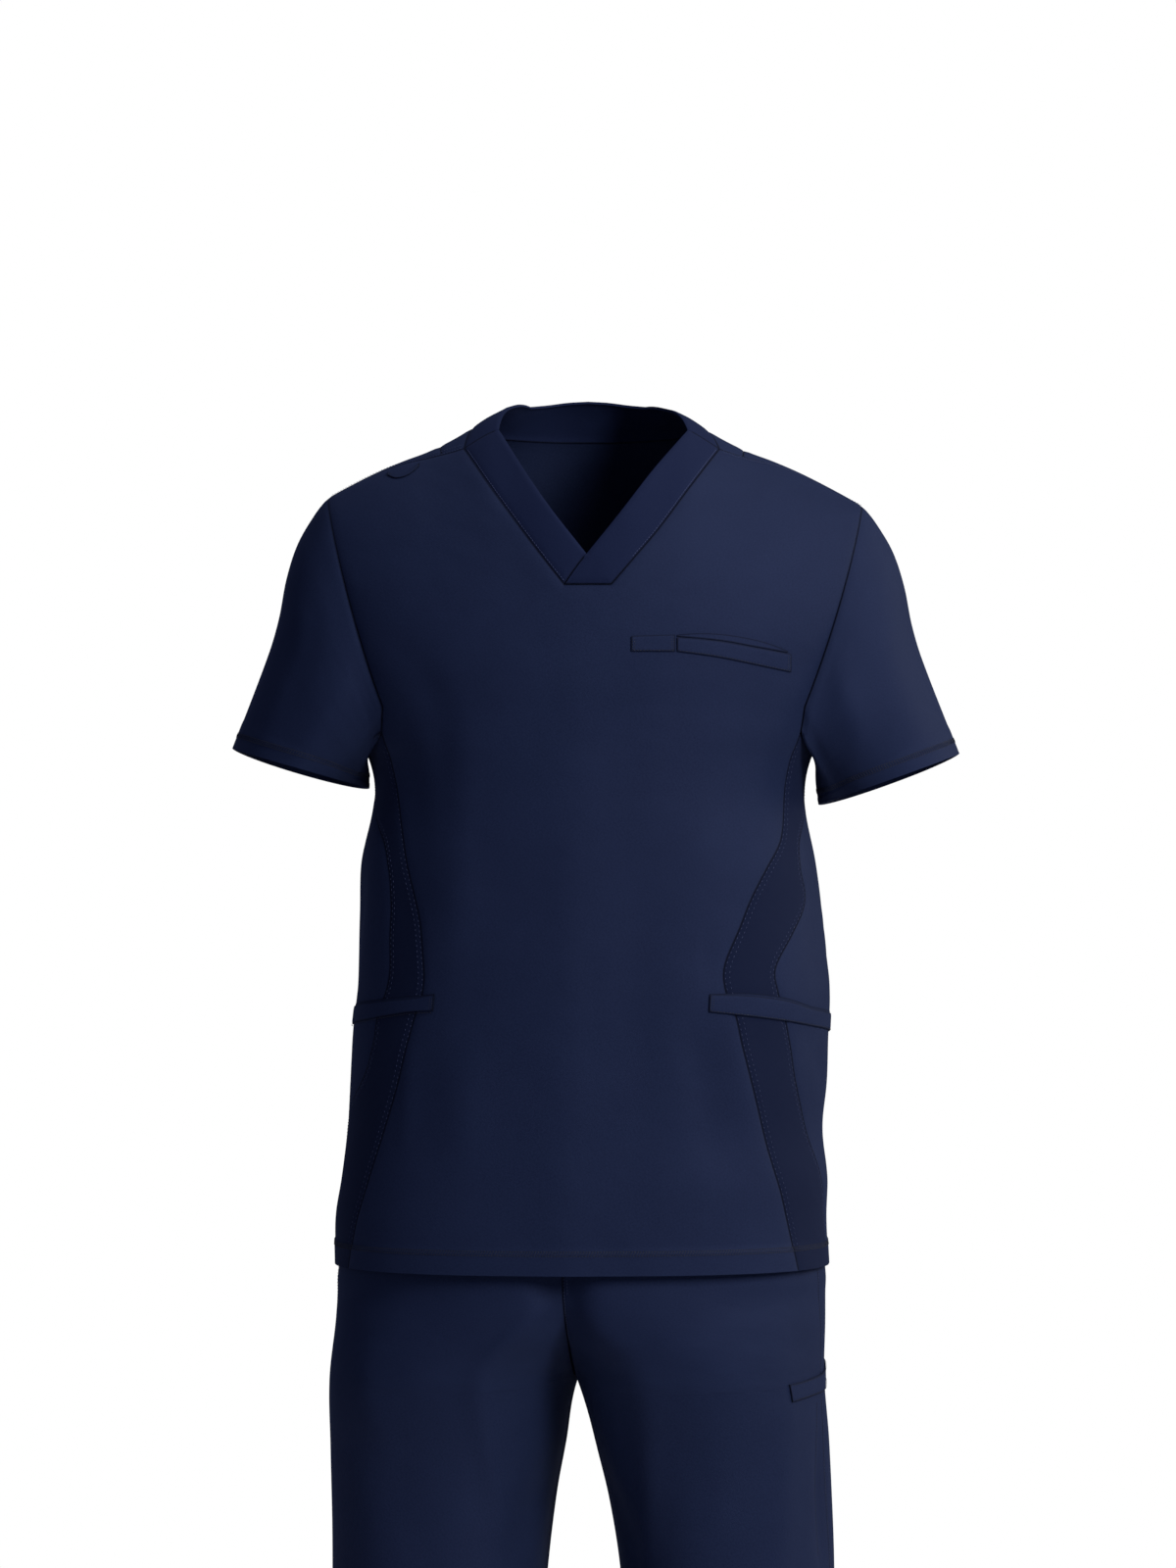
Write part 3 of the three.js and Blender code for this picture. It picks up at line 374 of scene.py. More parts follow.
FREE_EDGE = 4  # how near an open edge the cloth stays flat


def outer_area(points, quads):
    a, b, c, d = (points[quads[:, k]] for k in range(4))
    return np.linalg.norm(np.cross(c - a, d - b), axis=1).sum() / 2


def away_from(edge):
    """A test of which points are sewn: those farther than FREE_EDGE from an open edge."""
    return lambda p: np.linalg.norm(p[:, None] - edge[None], axis=-1).min(1) > FREE_EDGE


def steps(*spans):
    """Places from one value to another, as (end, count) spans after a start."""
    start, out = spans[0], []
    for end, count in spans[1:]:
        out.append(np.linspace(start, end, count, endpoint=False))
        start = end
    return np.r_[np.concatenate(out), start]


# %% [markdown]
# The front is cut in one. From the hem up its sides follow the knit inserts, then the armholes, and it
# divides at the V into two straps that end at the shoulder seams.

# %% The top's seams and its front
SIDES = {"right": -1, "left": 1}
TIP = {"right": -64, "left": 66}  # degrees of the armhole's front edge
NECK_LEVEL = float(place_of(0, NECK_SEAM["z"][0])[1])
SHOULDER_LEVEL = (1.97, 1.81)  # the shoulder seam's level at the tip and at the neck
SHOULDER_DIP = 0.03
FOOT_COLUMNS = 12
SIDE_ROWS = np.r_[
    -655, -654, -652, -649, np.arange(-645, -635, 2), np.arange(-635, -236, 4.0), SIDE_TOP]
ACROSS = steps(0, (0.005, 1), (0.012, 1), (0.025, 1), (0.975, 26), (0.988, 1), (0.995, 1), (1, 1))
UP = steps(0, (0.97, 40), (0.985, 1), (1, 2))


def seam_at(side, behind, z):
    return SIDES[side] * read(SIDE_SEAMS, "z", side + ("Back" if behind else "Front"), z)


def neck_side(side, t, rows):
    z = lerp(rows["z"][0], rows["z"][-1], np.asarray(t, float))
    return place_of(read(rows, "z", side, z), z)


def between(a, b, u):
    return lerp(a[0], b[0], u), lerp(a[1], b[1], u)


def shoulder_place(side, t, u):
    """A place of the front between armhole (u 0) and neck (u 1), from the V's foot up to the seam."""
    neck = neck_side(side, t, NECK_SEAM)
    arm = TIP[side], lerp(NECK_LEVEL, SHOULDER_LEVEL[0], t)
    degrees, level = between(arm, neck, u)
    return degrees, level + t * SHOULDER_DIP * np.sin(math.pi * u) ** 2


def split(left, right):
    """Places across the front: a strap's width, the V's foot, and the other strap's width."""
    left, right = (np.atleast_1d(v)[:, None] for v in (left, right))
    inner = np.linspace(V_RIGHT, V_LEFT, FOOT_COLUMNS + 1)[1:-1]
    inner = np.broadcast_to(inner, (len(left), len(inner)))
    return np.hstack([lerp(left, V_RIGHT, ACROSS), inner, lerp(V_LEFT, right, ACROSS)])


def v_foot(u):
    """The V's foot is level, from the right neck corner to the left one."""
    foot = {k: v[0] for k, v in NECK_SEAM.items()}
    return place_of(lerp(foot["right"], foot["left"], u), foot["z"])


V_RIGHT, V_LEFT = (float(v_foot(u)[0]) for u in (0, 1))
join = lambda *zones: tuple(np.vstack([z[k] for z in zones]) for k in (0, 1))
spread = lambda level, like: np.broadcast_to(np.asarray(level)[:, None], like.shape)


def top_front():
    sides = split(seam_at("right", False, SIDE_ROWS), seam_at("left", False, SIDE_ROWS))
    t = steps(0, (1, 6))[1:]
    edges = [lerp(sides[-1, k], TIP[s], t) for k, s in ((0, "right"), (-1, "left"))]
    turn = split(*edges)
    u, v = ACROSS[None, :], UP[1:, None]
    right, left = (shoulder_place(s, 0, u) for s in SIDES)
    foot = v_foot(np.linspace(0, 1, FOOT_COLUMNS + 1)[None, 1:-1])
    neck_row = [np.hstack([right[k], foot[k], left[k][:, ::-1]]) for k in (0, 1)]
    rise = steps(0, (0.96, 22), (0.985, 1), (1, 2))[1:, None]
    chest = neck_row[0] + 0 * rise, lerp(1, neck_row[1], rise)
    straps = [shoulder_place(s, v, u) for s in SIDES]
    cut = np.full((len(UP) - 1, FOOT_COLUMNS - 1), np.nan)
    straps = [np.hstack([r, cut, l[:, ::-1]]) for r, l in zip(*straps)]
    return join(
        (sides, spread(level_of(SIDE_ROWS), sides)),
        (turn, spread(lerp(level_of(SIDE_TOP), 1, t), turn)),
        chest, straps)


HEM_FOLD = 19  # the doubled hem, with its stitching near the top of it


def with_hem(place):
    """The doubled hem stands a little proud of the single cloth above it."""
    rise = (place[1] - level_of(HEM)) * (CHEST - HEM)
    return 0.7 * smooth((HEM_FOLD - rise) / 2.5 + 0.5)


at_hem = lambda p: p[:, 2] < HEM + 1
front = top_front()
shell("top_front", on_top(front, with_hem(front)), sewn=lambda p: ~at_hem(p))
print("front", len(shells["top_front"]["points"]), "points")

# %% [markdown]
# The back is a centre panel and two side panels, with a yoke-like top edge past the shoulder's ridge.

# %% The back panels and the knit inserts
BASE = 1.8
NECK_X = 85
EDGE_SHARE = 0.55  # how much narrower the neckband's free edge is than its seam behind the neck
PANEL = steps(0, (0.008, 1), (0.02, 1), (0.04, 1), (0.96, 22), (0.98, 1), (0.992, 1), (1, 1))
SHORT = steps(0, (0.03, 1), (0.08, 1), (0.92, 8), (0.97, 1), (1, 1))
STRAP_SHARE = 5 / 6  # the side panel's share of the shoulder seam


def back_seam(side, z):
    return SIDES[side] * lerp(*BACK_SEAM, np.clip(level_of(z), 0, 1))


def neck_behind(x):
    return place_of(x, read(NECK_BACK, "x", "seam", np.abs(x)), True)


def shoulder_behind(side, u):
    return from_behind(shoulder_place(side, 1, u))


def top_back_side(side):
    end = shoulder_behind(side, PANEL * STRAP_SHARE)
    arm = end[0][0]
    z = SIDE_ROWS[:, None]
    sides = lerp(seam_at(side, True, z), back_seam(side, z), PANEL)
    base = lerp(arm, back_seam(side, CHEST), PANEL)
    t = steps(0, (1, 6))[1:]
    turn = lerp(sides[-1], base, t[:, None])
    levels = np.linspace(1, BASE, 30)[1:]
    chest = np.broadcast_to(base, (len(levels), len(base)))
    v = UP[1:, None]
    top = lerp(base, end[0], v), lerp(BASE, end[1], v)
    return join(
        (sides, spread(level_of(SIDE_ROWS), sides)),
        (turn, spread(lerp(level_of(SIDE_TOP), 1, t), turn)),
        (chest, spread(levels, chest)), top)


def neck_strap(side, t, u):
    """Between the back seam (u 0) and the neck (u 1), from the base row (t 0) up to the shoulder seam."""
    start = between((back_seam(side, CHEST), BASE), neck_behind(SIDES[side] * NECK_X), u)
    return between(start, shoulder_behind(side, lerp(STRAP_SHARE, 1, u)), t)


NECK_COLUMNS = np.linspace(NECK_X, -NECK_X, 27)


def top_back():
    around = lambda d: np.where(np.asarray(d) < 0, np.asarray(d) + 360, d)
    neck = neck_behind(NECK_COLUMNS)
    neck = around(neck[0]), neck[1]
    rows = np.r_[SIDE_ROWS, CHEST]
    share = np.r_[np.zeros(len(rows) - 1), np.linspace(0, 1, 30)]
    z = np.r_[rows, np.full(29, CHEST)][:, None]
    zones = []
    for side, corner, flip in (("left", 0, 1), ("right", -1, -1)):
        edge = around(back_seam(side, z))
        degrees = lerp(edge, neck[0][corner], SHORT[None, :])
        top = lerp(BASE, neck[1][corner], SHORT)
        zones.append((degrees[:, ::flip], top[::flip]))
    middle = np.broadcast_to(neck[0][1:-1], (len(z), len(NECK_COLUMNS) - 2))
    degrees = np.hstack([zones[0][0], middle, zones[1][0]])
    tops = np.r_[zones[0][1], neck[1][1:-1], zones[1][1]]
    level = np.where(share[:, None] > 0, 1 + (tops - 1) * share[:, None], level_of(z))
    v, u = UP[1:, None], SHORT[None, :]
    left, right = (neck_strap(s, v, u) for s in ("left", "right"))
    cut = np.full((len(UP) - 1, len(NECK_COLUMNS) - 2), np.nan)
    straps = [np.hstack([around(a), cut, around(b)[:, ::-1]]) if k == 0 else
              np.hstack([a, cut, b[:, ::-1]]) for k, (a, b) in enumerate(zip(left, right))]
    return join((degrees, level), straps)


def side_insert(side):
    u = steps(0, (0.04, 2), (0.96, 14), (1, 2))
    z = SIDE_ROWS[SIDE_ROWS < -252][:, None]
    low = lerp(seam_at(side, False, z), seam_at(side, True, z), u)
    t = np.linspace(0, 1, 7)[1:, None]
    zt = lerp(z[-1], SIDE_TOP, t)
    top = level_of(SIDE_TOP + (UNDERARM - SIDE_TOP) * np.sin(math.pi * u))
    high = lerp(seam_at(side, False, zt), seam_at(side, True, zt), u)
    return join((low, spread(level_of(z[:, 0]), low)), (high, lerp(level_of(z[-1]), top, t)))


facing_out = lambda grid, flip: grid[:, ::-1] if flip else grid
for side, sign in SIDES.items():
    place = top_back_side(side)
    grid = on_top(place, with_hem(place))
    shell("top_back_" + side, facing_out(grid, sign < 0), sewn=lambda p: ~at_hem(p))
    place = side_insert(side)
    grid = on_top(place, with_hem(place))
    shell("side_insert_" + side, facing_out(grid, sign < 0), sewn=lambda p: ~at_hem(p))
place = top_back()
shell("top_back", on_top(place, with_hem(place)), sewn=lambda p: ~at_hem(p))
print("back", len(shells["top_back"]["points"]), "points")

# %% [markdown]
# A sleeve starts on the armhole's own points and ends in a tilted oval cuff. It stands out in a cap
# below the shoulder and hangs in a few folds from there and from the underarm.

# %% Sleeves
CUFFS = {
    "right": dict(outX=-283, outZ=-247, inX=-174.5, inZ=-278, front=66, back=68, lower=6),
    "left": dict(outX=295.5, outZ=-251, inX=184, inZ=-291, front=66, back=68, lower=6),
}
SLEEVE_CAP = table(
    "t out", (0, 0), (0.06, 5), (0.18, 10), (0.32, 8.5), (0.48, 2.5), (0.62, 0), (1, 0))
FULL_SIDE, FULL_UNDER = 5, 3
# turn is degrees round the sleeve: 0 its top, 90 the front, 180 underneath.
SLEEVE_FOLDS = table(
    "side top foot start end width depth",
    (-1, 140, 132, 0.0, 1.0, 17, -4.5),
    (-1, 96, 90, 0.05, 1.0, 13, 2.2),
    (-1, 60, 62, 0.15, 0.9, 12, -1.6),
    (-1, 36, 34, 0.3, 1.0, 12, -1.3),
    (-1, 238, 262, 0.02, 0.8, 15, -2.8),
    (-1, 305, 300, 0.2, 0.95, 14, 1.6),
    (1, 96, 104, 0.02, 0.95, 13, 2.4),
    (1, 138, 134, 0.1, 1.0, 13, -3.6),
    (1, 52, 60, 0.15, 0.95, 15, 1.5),
    (1, 236, 268, 0.02, 0.85, 15, -2.8),
    (1, 310, 298, 0.25, 1.0, 14, 1.4),
)


def armhole(side):
    tip, end = TIP[side], shoulder_behind(side, 0)
    up = lambda degrees, a, b, n: (np.full(n, float(degrees)), np.linspace(a, b, n, endpoint=False))
    front = up(tip, SHOULDER_LEVEL[0], NECK_LEVEL, 34)
    low = up(tip, NECK_LEVEL, 1, 12)
    corners = [seam_at(side, behind, SIDE_TOP) for behind in (False, True)]
    top = level_of(SIDE_TOP)
    v = np.linspace(0, 1, 5, endpoint=False)
    turn = lerp(tip, corners[0], v), lerp(1, top, v)
    u = np.linspace(0, 1, 20, endpoint=False)
    under = lerp(*corners, u), level_of(SIDE_TOP + (UNDERARM - SIDE_TOP) * np.sin(math.pi * u))
    back = lerp(corners[1], float(end[0]), v), lerp(top, 1, v)
    chest = up(end[0], 1, BASE, 29)
    last = up(end[0], BASE, float(end[1]), 20)
    zones = [front, low, turn, under, back, chest, last]
    bottom = len(front[0]) + len(low[0]) + len(v) + len(u) // 2
    return tuple(np.concatenate([z[k] for z in zones]) for k in (0, 1)), bottom


def sleeve(side):
    cuff, sign = CUFFS[side], SIDES[side]
    place, bottom = armhole(side)
    loop = on_top(place)
    run = np.r_[0, np.cumsum(np.linalg.norm(np.roll(loop, -1, 0) - loop, axis=1))]
    turn = np.where(
        np.arange(len(loop)) <= bottom, 180 * run[:-1] / run[bottom],
        180 + 180 * (run[:-1] - run[bottom]) / (run[-1] - run[bottom]))
    c, d = np.cos(np.radians(turn)), np.sin(np.radians(turn))
    mid_x, mid_z = (cuff["outX"] + cuff["inX"]) / 2, (cuff["outZ"] + cuff["inZ"]) / 2
    end = np.stack([
        lerp(mid_x, cuff["outX"], c),
        RIDGE_Y - d * np.where(d > 0, cuff["front"], cuff["back"]),
        lerp(mid_z, cuff["outZ"], c) + np.minimum(d, 0) * cuff["lower"]], -1)
    t = steps(0, (0.02, 4), (0.9, 44), (0.99, 8), (1, 2))[:, None]
    grid = lerp(loop[None], end[None], t[..., None])
    bulge = np.sin(math.pi * t)
    grid[..., 0] += sign * read(SLEEVE_CAP, "t", "out", t) * np.maximum(c, 0) ** 1.5
    grid[..., 0] -= sign * FULL_UNDER * bulge * np.maximum(-c, 0) ** 2
    grid[..., 1] -= FULL_SIDE * bulge * d
    out = np.zeros(grid.shape[:2])
    for s, top, foot, start, stop, width, depth in zip(*SLEEVE_FOLDS.values()):
        if s != sign:
            continue
        v = (t - start) / (stop - start)
        away = (turn - lerp(top, foot, np.clip(v, 0, 1)) + 180) % 360 - 180
        fade = smooth(v * 3) * (1 if stop >= 1 else smooth((1 - v) * 2.5))
        out += depth * np.exp(-((away / width) ** 2)) * fade
    out += 0.6 * smooth((t - 0.885) / 0.02)
    wide = np.linalg.norm(grid - grid.mean(1, keepdims=True), axis=-1, keepdims=True)
    grid += (grid - grid.mean(1, keepdims=True)) / wide * out[..., None] * [0.7, 1, 0.35]
    return facing_out(grid, sign < 0)


sleeve_grids = {side: sleeve(side) for side in SIDES}
for side, grid in sleeve_grids.items():
    shell("sleeve_" + side, grid, around=True, sewn=away_from(grid[-1]))
print("sleeve", sleeve_grids["left"].shape)

# %% [markdown]
# The neckband is folded knit, sewn on flat. In front it is two pieces: the left one runs across the
# foot of the V and lies over the right one's end. A third goes round the back of the neck.

# %% Neckband
BAND_ACROSS = steps(0, (0.03, 1), (0.08, 1), (0.92, 12), (0.97, 1), (1, 1))
LAP = 1.3  # how far the left band's end lies above the right one
NECK_ROLL = 1.4  # degrees that the free edge lies further out where it crosses the ridge


def band_form(u):
    """A folded band is full in the middle and rolls down to its free edge, at u = 1."""
    return 0.5 * np.sin(math.pi * np.clip(u, 0, 1)) ** 0.7 - 0.9 * np.maximum(u - 0.93, 0) / 0.07


def neckband_front(side):
    t = steps(0, (0.03, 3), (0.97, 60), (1, 3))[:, None]
    place = between(neck_side(side, t, NECK_SEAM), neck_side(side, t, NECK_EDGE), BAND_ACROSS)
    lift = np.broadcast_to(band_form(BAND_ACROSS), place[0].shape).copy()
    if side == "left":
        foot = steps(0, (0.03, 2), (0.97, 12), (1, 2))[:-1, None]
        under = between(v_foot(foot), neck_side("left", 0, NECK_EDGE), BAND_ACROSS)
        place = join(under, place)
        lift = np.vstack([np.broadcast_to(band_form(BAND_ACROSS) + LAP, under[0].shape),
                          lift + LAP * (1 - smooth(t / 0.25))])
        lift[0] -= 0.5
    grid = on_top(place, lift)
    return facing_out(grid, side == "left")


def neckband_back():
    t = np.linspace(0, 1, 26)[:, None]

    def half(side):
        seam = neck_strap(side, t, 1.0)
        start = place_of(SIDES[side] * NECK_X * EDGE_SHARE, NECK_BACK["edge"][-1], True)
        edge = between(start, from_behind(neck_side(side, 1, NECK_EDGE)), t)
        edge = edge[0] - SIDES[side] * NECK_ROLL * np.sin(math.pi * t), edge[1]
        grid = on_top(between(seam, edge, BAND_ACROSS), band_form(BAND_ACROSS))
        grid[-1] = on_top(between(neck_side(side, 1, NECK_SEAM), neck_side(side, 1, NECK_EDGE),
                                  BAND_ACROSS), band_form(BAND_ACROSS))
        return grid

    x = NECK_COLUMNS[1:-1, None]
    edge = place_of(x * EDGE_SHARE, read(NECK_BACK, "x", "edge", np.abs(x)), True)
    middle = on_top(between(neck_behind(x), edge, BAND_ACROSS), band_form(BAND_ACROSS))
    return np.vstack([half("left")[::-1], middle, half("right")])[:, ::-1]


for side in SIDES:
    free = on_top(neck_side(side, np.linspace(0, 1, 90), NECK_EDGE))
    shell("neckband_front_" + side, neckband_front(side), wall=BAND, sewn=away_from(free))
grid = neckband_back()
shell("neckband_back", grid, wall=BAND, sewn=away_from(grid[:, 0]))

# %% [markdown]
# Pocket edges, the pen slot and the badge loop are folded strips sewn on top. Each is made from the
# panel's own points, moved out, so it follows the folds beneath it.

# %% Pieces laid on the top
PEN_SLOT = table("at low high", (33.5, -172.5, -160.3), (67.5, -172.5, -159.2))
CHEST_WELT = table(
    "at low high", (69, -172.5, -161.2), (101, -176.8, -164), (127, -181.8, -168.3),
    (158.5, -188, -173.6))
CHEST_FACING = table(
    "at low high", (69, -160.7, -159.3), (88, -162.2, -158), (107, -164.3, -159),
    (127, -167.8, -162.2), (142, -170.3, -166), (156, -172.7, -171.4))
HIP_BANDS = {
    "left": table(
        "at low high", (42, -451.6, -438), (53, -455.3, -439.2), (64, -459.7, -443.5),
        (75, -464.8, -451.5), (97, -472.5, -458.5), (112, -476, -462)),
    "right": table(
        "at low high", (41.3, -451.4, -438.3), (47.7, -452.6, -441.8), (54, -455.4, -443.6),
        (65, -460.5, -447), (89, -467.5, -454), (112, -470, -456.5)),
}
BADGE_LOOP = table(
    "at low high", (-158.5, -31.2, -28.2), (-152, -34, -31), (-144, -32.8, -29.8),
    (-138, -29.2, -26.2), (-133, -24.6, -21.6))
LAID_ACROSS = steps(0, (0.08, 2), (0.92, 10), (1, 2))


def laid_places(rows, place, count=60):
    at = steps(rows["at"][0], (rows["at"][-1], count))
    low, high = (np.broadcast_arrays(*place(at, read(rows, "at", k, at))) for k in ("low", "high"))
    return between(low, high, LAID_ACROSS[:, None])


PRESSED = 0.5  # sewn down, a strip's two layers press to this share of its wall


def laid(name, rows, place, wall=CLOTH, soft=0.35, flip=False, count=60):
    wall = wall * PRESSED
    places = laid_places(rows, place, count)
    edge = np.minimum(LAID_ACROSS, 1 - LAID_ACROSS)[:, None] * 2
    form = soft * (np.sqrt(np.clip(edge * 3, 0, 1)) - 0.6)
    grid = on_top(places, SEAM_GAP + wall + form)
    shell(name, facing_out(grid, flip), wall=wall, dip=0)


on_front = lambda x, z: place_of(x, z)
laid("chest_pen_slot", PEN_SLOT, on_front, count=24)
laid("chest_pocket_welt", CHEST_WELT, on_front)
laid("chest_pocket_facing", CHEST_FACING, on_front, wall=1, soft=0)
laid("badge_loop", BADGE_LOOP, on_front, wall=1.2, count=30)


def round_hip(sign):
    """How a hip piece's rows are placed: degrees counted to the piece's own side, and a level."""
    return lambda d, z: (sign * np.asarray(d), level_of(z))


for side, sign in SIDES.items():
    laid("hip_pocket_band_" + side, HIP_BANDS[side], round_hip(sign), wall=BAND, flip=sign < 0, count=90)
# The mouth of a hip pocket shows a sliver of the pocket's inner cloth, lying in shadow. The sliver lies
# within the painted seam shade of its edges, so its dark line is painted shadow.
MOUTH = 1.8
for side, sign in SIDES.items():
    rows = dict(HIP_BANDS[side])
    rows["high"] = rows["high"] + MOUTH * np.r_[0.2, np.ones(5)]
    grid = on_top(laid_places(rows, round_hip(sign), 60), 0.28)
    shell("hip_pocket_mouth_" + side, facing_out(grid, sign < 0), wall=0.2, dip=0)
print("laid pieces", [n for n in shells if "pocket" in n])

# %% [markdown]
# The trousers are four panels. Each leg is its own stack of rounded sections. Above the crotch the two
# legs' inner sides meet in the middle, at the rise seam, and the trousers are one tube.

# %% The trousers' surface
WAIST, WAISTBAND_FOOT, CROTCH = -463, -501, -747
LEG_SECTIONS = table(
    "z middle inner outer front back square",
    (-1545, 145, 67, 68, 72, 74, 2.1),
    (-1350, 136, 70, 70, 78, 81, 2.1),
    (-1150, 126, 74, 74.5, 86, 87, 2.15),
    (-1000, 118.5, 80, 80.5, 93, 95, 2.2),
    (-897, 113, 83, 85.5, 99, 101, 2.2),
    (-840, 108.5, 86.5, 89, 105, 107, 2.25),
    (-797, 104, 91.5, 92.8, 112, 114, 2.3),
    (-768, 99, 92.5, 97.2, 119, 120, 2.35),
    (-747, 93, 93, 102.6, 124, 125, 2.35),
    (-733, 86, 93, 109.2, 126.5, 127, 2.35),
    (-716, 71, 93, 123.6, 129.5, 128, 2.35),
    (-696, 44, 93, 150, 132, 127, 2.4),
    (-678, 16, 93, 177.7, 134, 124, 2.4),
    (-665, 0, 93, 193.9, 134.5, 122, 2.45),
    (-640, 0, 93, 191, 134, 120, 2.45),
    (-600, 0, 93, 186, 131, 118, 2.4),
    (-555, 0, 93, 177, 126, 110, 2.35),
    (-501, 0, 93, 165, 118, 103, 2.3),
    (-463, 0, 93, 163, 116, 101, 2.3),
)
LEG_SET = table(
    "z mid turn",
    (-1545, -2, 0), (-897, -3, 3), (-800, -5.5, 4.5), (-747, -8, 5), (-700, -5.5, 6),
    (-655, -4.7, 7), (-600, -3.5, 7), (-463, 2, 6),
)
SIDE_SEAM = 8  # degrees in front of the leg's side
# leg is -1 for the right one; top and foot are degrees round it, from and to heights.
LEG_FOLDS = table(
    "leg top foot start end width depth",
    (1, 15, 22, -740, -960, 8, -6),
    (-1, 44, 80, -655, -830, 8, 2.2),
    (-1, 84, 130, -630, -900, 4.5, 3.2),
    (1, 92, 138, -670, -960, 7, 3.0),
    (1, 36, 66, -680, -980, 7, 2.0),
    (1, 50, 88, -690, -960, 12, -2.4),
    (-1, 62, 96, -690, -960, 11, -2.0),
    (-1, 150, 125, -770, -940, 14, -3.5),
    (1, 155, 128, -765, -950, 14, -3.5),
    (-1, -140, -112, -770, -1010, 15, -5),
    (1, -138, -108, -775, -990, 15, -5),
    (-1, 70, 110, -1130, -1290, 16, -4),
    (1, 112, 66, -1150, -1320, 16, -4),
    (-1, 60, 96, -1400, -1530, 17, -4),
    (1, 105, 74, -1390, -1535, 17, -4),
    (-1, -80, -120, -1380, -1540, 17, -4.5),
    (1, -85, -115, -1370, -1540, 17, -4.5),
)


# The cloth sinks in along the rise, most just under the top's hem.
RISE_HOLLOW = table(
    "z deep wide",
    (-1545, 0, 20), (-960, 0, 20), (-860, 2.5, 22), (-790, 6, 20), (-740, 9, 18), (-690, 12, 17),
    (-655, 12, 17), (-600, 5, 20), (-550, 0, 20), (-463, 0, 20))


def leg_folds(sign, degrees, z):
    out = np.zeros(np.broadcast(degrees, z).shape)
    for leg, top, foot, start, end, width, depth in zip(*LEG_FOLDS.values()):
        if leg != sign:
            continue
        t = (z - start) / (end - start)
        away = (degrees - lerp(top, foot, np.clip(t, 0, 1))) / width
        fade = np.where((t > 0) & (t < 1), np.sin(math.pi * t) ** 2, 0)
        out += depth * np.exp(-away * away) * fade
    return out


def leg_point(side, degrees, z, lift=0.0):
    """A point of one leg: 0 degrees is its outer side, 90 the front, 180 the inner side."""
    degrees, z = np.broadcast_arrays(np.asarray(degrees, float), np.asarray(z, float))
    get = lambda column: read(LEG_SECTIONS, "z", column, z)
    c, d = np.cos(np.radians(degrees)), np.sin(np.radians(degrees))
    wide = np.where(c > 0, get("outer"), get("inner"))
    r = section_radius(c, d, wide, get("front"), get("back"), get("square"))
    r = r + leg_folds(SIDES[side], degrees, z) + lift
    across = np.maximum(get("middle") + r * c, 0)
    deep, wide = (read(RISE_HOLLOW, "z", column, z) for column in ("deep", "wide"))
    sunk = np.minimum(deep * np.exp(-((across / wide) ** 2)), 0.6 * r * np.maximum(d, 0))
    x, depth = SIDES[side] * across, r * d - sunk

    def outline(angle):
        s, k = np.sin(angle), np.cos(angle)
        return section_radius(
            s, k, get("middle") + get("outer"), get("front"), get("back"), get("square"))

    angle = np.arctan2(x, depth)
    turned = angle - np.radians(read(LEG_SET, "z", "turn", z))
    out = np.hypot(x, depth) / outline(angle) * outline(turned)
    return np.stack([read(LEG_SET, "z", "mid", z) + out * np.sin(turned), -out * np.cos(turned), z], -1)


def rise_angle(z, behind):
    """Degrees at which a section meets the middle; below the crotch, its inner side."""
    get = lambda column: read(LEG_SECTIONS, "z", column, z)
    across = np.clip(get("middle") / get("inner"), 0, 1)
    deep = get("back" if behind else "front") * (1 - across ** get("square")) ** (1 / get("square"))
    return np.where(z <= CROTCH, 180, np.degrees(np.arctan2(deep, -get("middle"))))


# %% Trouser panels and waistband
LEG_Z = np.r_[
    -1545, -1544, -1542, -1539, np.arange(-1535, -1515, 2.5), np.arange(-1515, -1000, 6),
    np.arange(-1000, -760, 4), np.arange(-760, -655, 2), np.arange(-655, WAISTBAND_FOOT, 8),
    WAISTBAND_FOOT]
LEG_HEM = 26
LEG_ACROSS = steps(0, (0.004, 1), (0.01, 1), (0.02, 1), (0.98, 66), (0.99, 1), (0.996, 1), (1, 1))


RISE_CROWD = 30  # degrees before the rise within which the columns crowd up to it


def trouser_panel(side, behind):
    z = LEG_Z[:, None]
    end = rise_angle(z, behind)
    start = end - RISE_CROWD
    even = lerp(-SIDE_SEAM if behind else SIDE_SEAM, 180, LEG_ACROSS)
    crowded = start + RISE_CROWD * (even - start) / (180 - start)
    degrees = np.where(even < start, even, crowded) * (-1 if behind else 1)
    hem = 0.7 * smooth((LEG_HEM - (z - LEG_Z[0])) / 2.5 + 0.5)
    return leg_point(side, degrees, z, hem)


for side, sign in SIDES.items():
    for behind in (False, True):
        grid = facing_out(trouser_panel(side, behind), (sign > 0) != behind)
        shell("trouser_%s_%s" % ("back" if behind else "front", side), grid,
              sewn=lambda p: (p[:, 2] > -1540) & (p[:, 2] < WAISTBAND_FOOT - 1))


def waistband():
    z = steps(WAISTBAND_FOOT, (WAIST, 12))[:, None]
    arc = lambda side, a, b: leg_point(side, np.linspace(a, b, 120, endpoint=False), z, gathers(z))
    return np.hstack([arc("right", 90, -90), arc("left", -90, 90)])[:, ::-1]


def gathers(z):
    """The elastic pulls the band into small gathers, deepest half way up."""
    ripple = np.sin(np.arange(120) * 1.9 + np.sin(np.arange(120) * 0.7))
    return 0.7 * ripple * np.sin(math.pi * (z - WAISTBAND_FOOT) / (WAIST - WAISTBAND_FOOT))


shell("waistband", waistband(), wall=BAND, around=True, dip=0)

